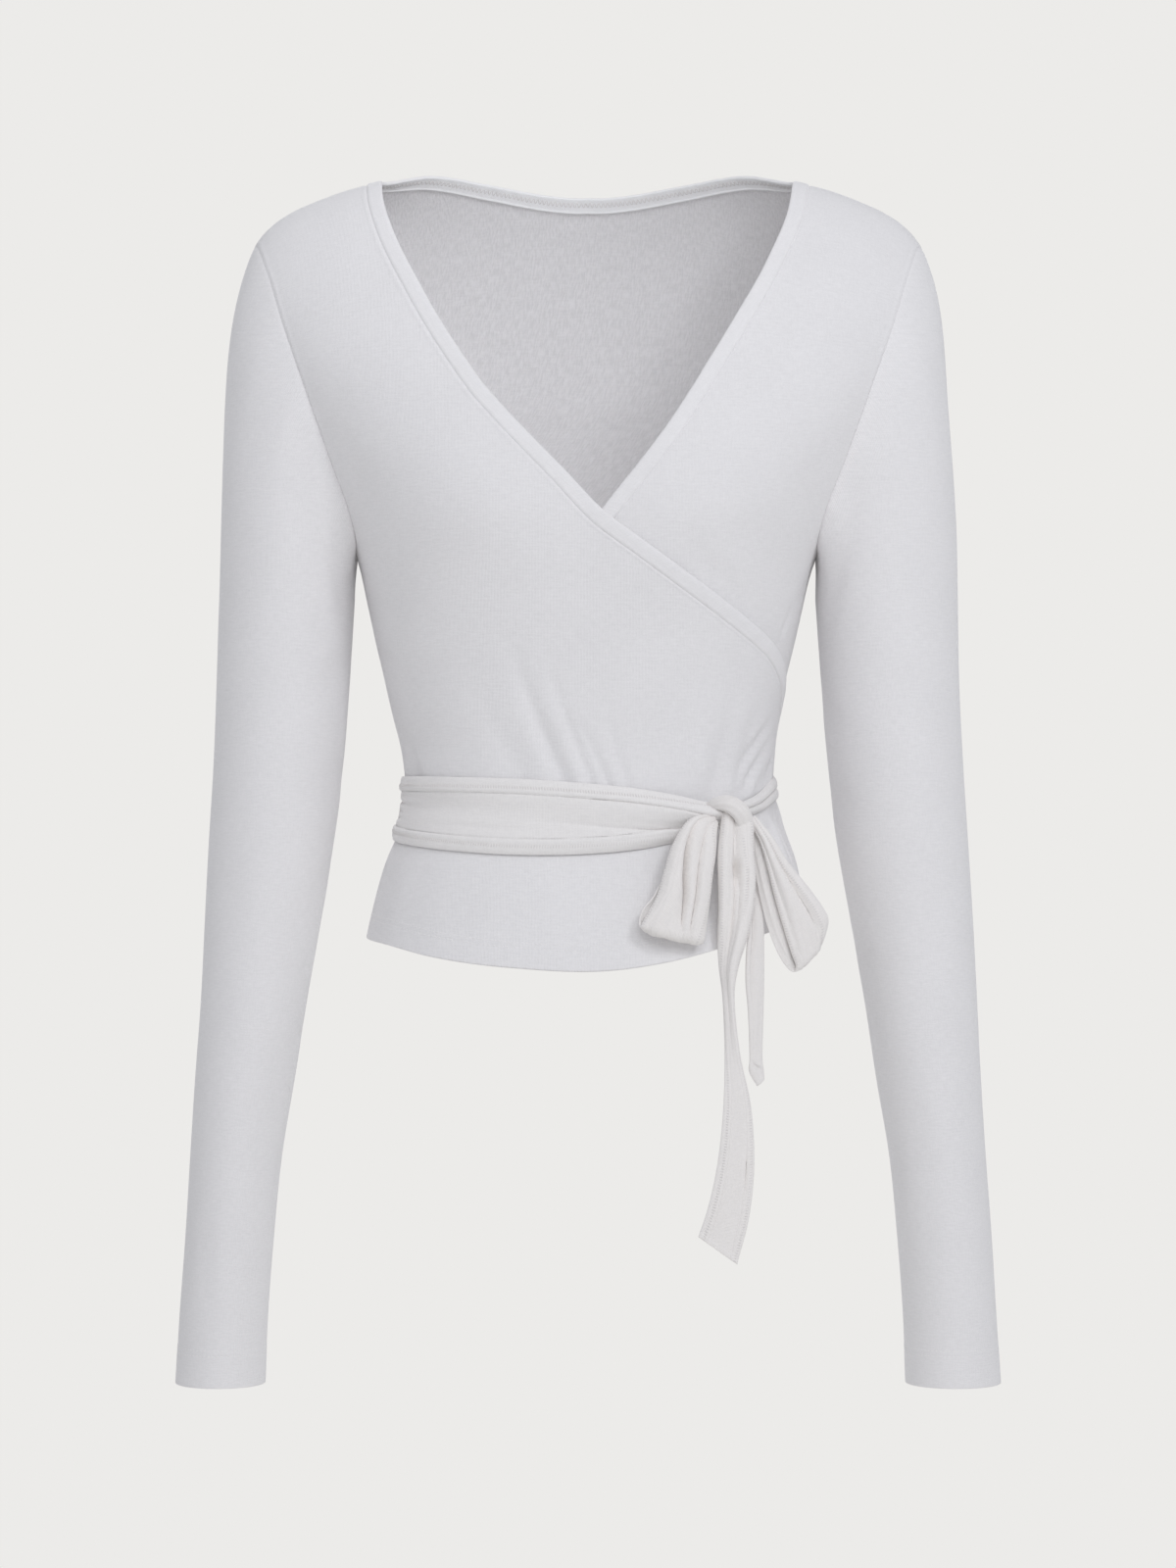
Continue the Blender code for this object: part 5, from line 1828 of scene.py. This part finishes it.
class WrapTopStage(bpy.types.PropertyGroup):
    """Light, floor and background"""

    background: FloatVectorProperty(
        name="Background",
        description="Colour of the floor and of what lies behind it",
        subtype="COLOR",
        default=(0.839, 0.831, 0.815),
    )
    light_colour: FloatVectorProperty(
        name="Light colour",
        description="Cool white of the lamps and of the room",
        subtype="COLOR",
        default=(0.948, 0.961, 1.0),
    )
    room: FloatProperty(
        name="Room light",
        description="Strength of the light that comes from all round",
        default=0.56,
    )
    front: FloatProperty(
        name="Front light",
        description="Power of the light above the camera",
        default=16.0,
        subtype="POWER",
    )
    side: FloatProperty(
        name="Side light",
        description="Power of the light above the wearer's left",
        default=15.0,
        subtype="POWER",
    )
    neck: FloatProperty(
        name="Neck light",
        description="Power of the narrow light that falls into the neck",
        default=66.0,
        subtype="POWER",
    )
    behind: FloatProperty(
        name="Back light",
        description="Power of the light behind the wearer",
        default=20.0,
        subtype="POWER",
    )


# ---------------------------------------------------------------- operators
# share of the outer front's width, distance between its columns there
OVER_COLUMNS = (
    (0.0, 3.8),
    (0.24, 3.4),
    (0.30, 2.4),
    (0.66, 2.4),
    (0.73, 1.15),
    (1.0, 1.15),
)
# Width of a panel or length of an edge, and the distance between its columns.
OVER_WIDTH = 385.0
UNDER_SPACING = (260.0, 2.8)
BACK_SPACING = (330.0, 2.9)
NECK_SPACING = (310.0, 2.0)
COLUMN_SAMPLES = 2000
COLUMN_GAP = 1.2  # columns keep clear of the fine ones at the edges by this share
NECK_STAND = 2.2  # how far the binding of the back neck stands off


def uneven_columns(width, table):
    """Places from 0 to 1 across a width, with distances that follow a table."""
    fine = np.linspace(0.0, 1.0, COLUMN_SAMPLES)
    steps = np.interp(fine, [row[0] for row in table], [row[1] for row in table])
    count = np.concatenate(([0.0], np.cumsum(width / COLUMN_SAMPLES / steps[1:])))
    inside = np.interp(np.arange(1, int(count[-1])), count, fine)
    edge = np.array(EDGE_STEPS) / width
    clear = edge[-1] * COLUMN_GAP
    inside = inside[(inside > clear) & (inside < 1 - clear)]
    return np.concatenate(([0.0], edge, inside, 1 - edge[::-1], [1.0]))


def hem_stitches(cloths, edge, lines, name):
    """Rows of stitches at their distances from the lowest edge of some cloths."""
    sewing = Sewing()
    for cloth in cloths:
        for line in lines:
            sewing.row(cloth.line(edge, line))
    return finish_stitches(sewing, name, "jersey")


class WRAPTOP_OT_fronts(bpy.types.Operator):
    """Make the two fronts, the outer one over the under one, with their stitched hems"""

    bl_idname = "wrap_top.fronts"
    bl_label = "Fronts"

    def execute(self, context):
        over = body_panel(
            "front_right",
            side_edge(-1, back=False),
            free_edge(OVER, -(BINDING + SEAM)),
            None,
            uneven_columns(OVER_WIDTH, OVER_COLUMNS),
            over_layer,
            OVER_CREASES,
        )
        under = body_panel(
            "front_left",
            side_edge(1, back=False),
            free_edge(UNDER, BINDING + SEAM),
            None,
            spaced(*UNDER_SPACING),
            under_layer,
            UNDER_CREASES,
        )
        stitches = hem_stitches((over, under), 0, HEM_LINES, "front_hem_stitches")
        finish_cloth(over, "body")
        finish_cloth(under, "body")
        return {"FINISHED"}


class WRAPTOP_OT_back(bpy.types.Operator):
    """Make the back with its stitched hem"""

    bl_idname = "wrap_top.back"
    bl_label = "Back"

    def execute(self, context):
        cloth = body_panel(
            "back",
            side_edge(1, back=True),
            side_edge(-1, back=True),
            back_top,
            spaced(*BACK_SPACING),
            flush_layer,
            BACK_CREASES,
        )
        stitches = hem_stitches([cloth], 0, HEM_LINES, "back_hem_stitches")
        finish_cloth(cloth, "body")
        return {"FINISHED"}


class WRAPTOP_OT_bindings(bpy.types.Operator):
    """Make the bindings of the neck edge and the zigzag on their inside"""

    bl_idname = "wrap_top.bindings"
    bl_label = "Bindings"

    def execute(self, context):
        down = 1 - row_places()[::-1]
        down = np.unique(np.concatenate((down, (down[1:] + down[:-1]) / 2)))
        across = spaced(*NECK_SPACING)
        pieces = (
            binding("binding_right", OVER, -1, over_layer, down, (0,)),
            binding("binding_left", UNDER, 1, under_layer, down, (0,)),
            binding("binding_back", NECK, -1, flush_layer, across, (0, 1), NECK_STAND),
        )
        for cloth in pieces:
            sewing = Sewing()
            sewing.zigzag(*(cloth.line(2, away, inside=True) for away in ZIGZAG_LINES))
            stitches = finish_stitches(sewing, cloth.name + "_zigzag", "jersey_band")
            finish_cloth(cloth, "binding")
        return {"FINISHED"}


class WRAPTOP_OT_sleeves(bpy.types.Operator):
    """Make the set-in sleeves with their turned cuffs"""

    bl_idname = "wrap_top.sleeves"
    bl_label = "Sleeves"

    def execute(self, context):
        for name, side, table in (
            ("sleeve_right", -1, RIGHT_SLEEVE_CREASES),
            ("sleeve_left", 1, LEFT_SLEEVE_CREASES),
        ):
            cloth = sleeve(name, side, table)
            stitches = hem_stitches([cloth], 1, CUFF_LINES, name + "_stitches")
            finish_cloth(cloth, "body")
        return {"FINISHED"}


# name, table, distance of its columns, rows, share of its turned edges, thickness
SASH_PIECES = (
    ("sash_front", SASH_FRONT, 1.5, 60, 1.0, SASH_WALL),
    ("sash_left", SASH_LEFT, 1.2, 36, 0.4, SASH_THIN_WALL),
    ("sash_back", SASH_BACK, 2.0, 54, 1.0, SASH_WALL),
)


class WRAPTOP_OT_sash(bpy.types.Operator):
    """Make the three stretches of the sash round the waist"""

    bl_idname = "wrap_top.sash"
    bl_label = "Sash"

    def execute(self, context):
        for name, table, step, rows, turned_edge, thickness in SASH_PIECES:
            cloth = sash(name, table, step, rows, turned_edge, thickness)
            stitches = []
            if turned_edge == 1.0:
                sewing = Sewing()
                for edge in (0, 1):
                    near, far = (cloth.line(edge, away) for away in SASH_BARS)
                    sewing.bars(near, far, SASH_THREAD)
                stitches = [finish_stitches(sewing, name + "_stitches", "jersey_band")]
            finish_cloth(cloth, "sash")
        return {"FINISHED"}


# name, table, strands, row at which they end, creases, widths of its turned edges, whether its
# end is turned too, columns
RIBBON_PIECES = (
    ("loop_left", LOOP_LEFT, LOOP_LEFT_STRANDS, 6, LOOP_LEFT_CREASES, (3.6, 7.5), 0, 64),
    ("loop_right", LOOP_RIGHT, LOOP_RIGHT_STRANDS, 6, LOOP_RIGHT_CREASES, (3.6, 8.5), 0, 50),
    ("tail_long", TAIL_LONG, TAIL_LONG_STRANDS, 6, TAIL_LONG_CREASES, (5.4, 4.4), 1, 52),
    ("tail_short", TAIL_SHORT, TAIL_SHORT_STRANDS, 8, TAIL_SHORT_CREASES, (3.0, 3.0), 1, 26),
)
# A second row of bars on the long tail: between these distances from its right edge, and
# between these shares of its length.
TAIL_BARS = (7.6, 9.8)
TAIL_BARS_START = 14
TAIL_BARS_STOP = 4


class WRAPTOP_OT_bow(bpy.types.Operator):
    """Make the knot, loops and tails of the bow"""

    bl_idname = "wrap_top.bow"
    bl_label = "Bow"

    def execute(self, context):
        turn = knot("knot", KNOT)
        turn.data.materials.append(jersey_sides("bow")[0])
        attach(turn, BODY_NAME)
        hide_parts("knot")
        turn.name = "cloth_knot"
        for name, table, strands, row, creased, hems, end, columns in RIBBON_PIECES:
            cloth = ribbon(name, table, strands, row, creased, hems, end, columns)
            sewing = Sewing()
            for edge, hem in zip((2, 3), hems):
                near, far = (cloth.line(edge, hem - away, full=RIBBON_FULL) for away in RIBBON_BARS)
                sewing.bars(near, far, BOW_THREAD)
            if name == "tail_long":
                near, far = (cloth.line(3, away, full=RIBBON_FULL) for away in TAIL_BARS)
                part = slice(len(near[0]) // TAIL_BARS_START, len(near[0]) // TAIL_BARS_STOP)
                sewing.bars((near[0][part], near[1][part]), (far[0][part], None), BOW_THREAD)
            stitches = finish_stitches(sewing, name + "_stitches", "jersey_band")
            finish_cloth(cloth, "bow")
        return {"FINISHED"}


CAMERA_AWAY = 3.0
CAMERA_HEIGHT = -0.3388
PICTURE_HALF = 0.44  # half of the picture's height at the garment's middle plane
SENSOR = 36.0
FLOOR_LEVEL = -1.35
FLOOR_RADIUS = 0.9
# place and size of each wide light, in metres
FRONT_LIGHT = ((0.2, -2.9, 0.9), 0.9)
SIDE_LIGHT = ((1.2, -2.2, 1.2), 0.7)
BACK_LIGHT = ((-0.9, 3.2, 0.7), 1.4)
# The narrow light: its place, where it is aimed, the angle of its cone and how soft it is.
NECK_LIGHT = (0.9, -2.4, 0.5)
NECK_AIM = (-0.09, 0.085, -0.005)
NECK_CONE = 4.4
NECK_SOFT = 0.12


def aimed_light(data, place, power, colour, target):
    """A light of that kind at its place, turned to face its target."""
    data.energy = power
    data.color = colour
    lamp = bpy.data.objects.new(data.name, data)
    lamp.location = place
    aim = tuple(end - start for start, end in zip(place, target))
    flat = math.hypot(aim[0], aim[1])
    lamp.rotation_euler = (math.atan2(flat, -aim[2]), 0, math.atan2(-aim[0], aim[1]))
    bpy.context.scene.collection.objects.link(lamp)


def wide_light(name, place, size, power, colour):
    """A soft square light that faces the garment's middle."""
    data = bpy.data.lights.new(name, "AREA")
    data.shape = "RECTANGLE"
    data.size = size
    data.size_y = size
    aimed_light(data, place, power, colour, (0.0, 0.0, CAMERA_HEIGHT))


def neck_light(power, colour):
    """A narrow light that falls through the neck onto the inside of the back."""
    data = bpy.data.lights.new("neck_light", "SPOT")
    data.spot_size = math.radians(NECK_CONE)
    data.spot_blend = 1.0
    data.shadow_soft_size = NECK_SOFT
    aimed_light(data, NECK_LIGHT, power, colour, NECK_AIM)


def make_floor(colour):
    """A round floor that glows in the background's colour and takes no shade."""
    bpy.ops.object.select_all(action="DESELECT")
    bpy.ops.mesh.primitive_circle_add(
        vertices=96, radius=FLOOR_RADIUS, fill_type="NGON", location=(0, 0, FLOOR_LEVEL)
    )
    floor = bpy.context.active_object
    floor.name = "floor"
    tree = Tree("pale_floor")
    tree.shader.inputs["Base Color"].default_value = (0.0, 0.0, 0.0, 1.0)
    tree.shader.inputs["Roughness"].default_value = 1.0
    tree.shader.inputs["Specular IOR Level"].default_value = 0.0
    tree.shader.inputs["Emission Color"].default_value = (*colour, 1.0)
    tree.shader.inputs["Emission Strength"].default_value = 1.0
    floor.data.materials.append(tree.material)


def make_room(background, light, power):
    """A world that is seen in one colour and lights in another."""
    world = bpy.data.worlds.new("room")
    bpy.context.scene.world = world
    world.use_nodes = True
    nodes = world.node_tree.nodes
    links = world.node_tree.links
    seen = nodes["Background"]
    seen.inputs["Color"].default_value = (*background, 1.0)
    lit = nodes.new("ShaderNodeBackground")
    lit.inputs["Color"].default_value = (*light, 1.0)
    lit.inputs["Strength"].default_value = power
    path = nodes.new("ShaderNodeLightPath")
    mix = nodes.new("ShaderNodeMixShader")
    links.new(path.outputs["Is Camera Ray"], mix.inputs[0])
    links.new(lit.outputs[0], mix.inputs[1])
    links.new(seen.outputs[0], mix.inputs[2])
    links.new(mix.outputs[0], nodes["World Output"].inputs["Surface"])


def make_camera():
    data = bpy.data.cameras.new("camera")
    data.sensor_fit = "AUTO"
    data.sensor_width = SENSOR
    data.lens = SENSOR / 2 / (PICTURE_HALF / CAMERA_AWAY)
    camera = bpy.data.objects.new("camera", data)
    camera.location = (0.0, -CAMERA_AWAY, CAMERA_HEIGHT)
    camera.rotation_euler = (math.pi / 2, 0, 0)
    bpy.context.scene.collection.objects.link(camera)
    bpy.context.scene.camera = camera


class WRAPTOP_OT_stage(bpy.types.Operator):
    """Make the floor, the lights, the background and the camera"""

    bl_idname = "wrap_top.stage"
    bl_label = "Stage"

    def execute(self, context):
        look = context.scene.wrap_top_stage
        cool = tuple(look.light_colour)
        make_floor(look.background)
        wide_light("front_light", *FRONT_LIGHT, look.front, cool)
        wide_light("side_light", *SIDE_LIGHT, look.side, cool)
        wide_light("back_light", *BACK_LIGHT, look.behind, cool)
        neck_light(look.neck, cool)
        make_room(look.background, cool, look.room)
        make_camera()
        context.scene.view_settings.view_transform = "Standard"
        return {"FINISHED"}


class WRAPTOP_PT_sidebar(bpy.types.Panel):
    """The wrap top's pieces and settings"""

    bl_idname = "WRAPTOP_PT_sidebar"
    bl_label = "Wrap top"
    bl_space_type = "VIEW_3D"
    bl_region_type = "UI"
    bl_category = "Wrap top"

    def draw(self, context):
        column = self.layout.column()
        for operator in OPERATORS:
            column.operator(operator.bl_idname)
        for group in (context.scene.wrap_top_cloth, context.scene.wrap_top_stage):
            for key in group.__annotations__:
                column.prop(group, key)


OPERATORS = (
    WRAPTOP_OT_fronts,
    WRAPTOP_OT_back,
    WRAPTOP_OT_bindings,
    WRAPTOP_OT_sleeves,
    WRAPTOP_OT_sash,
    WRAPTOP_OT_bow,
    WRAPTOP_OT_stage,
)
CLASSES = (WrapTopCloth, WrapTopStage, *OPERATORS, WRAPTOP_PT_sidebar)


def register():
    for each in CLASSES:
        bpy.utils.register_class(each)
    bpy.types.Scene.wrap_top_cloth = PointerProperty(type=WrapTopCloth)
    bpy.types.Scene.wrap_top_stage = PointerProperty(type=WrapTopStage)


def unregister():
    del bpy.types.Scene.wrap_top_stage
    del bpy.types.Scene.wrap_top_cloth
    for each in reversed(CLASSES):
        bpy.utils.unregister_class(each)


def main():
    register()
    bpy.ops.wrap_top.fronts()
    bpy.ops.wrap_top.back()
    bpy.ops.wrap_top.bindings()
    bpy.ops.wrap_top.sleeves()
    bpy.ops.wrap_top.sash()
    bpy.ops.wrap_top.bow()
    bpy.ops.wrap_top.stage()


if __name__ == "__main__":
    main()
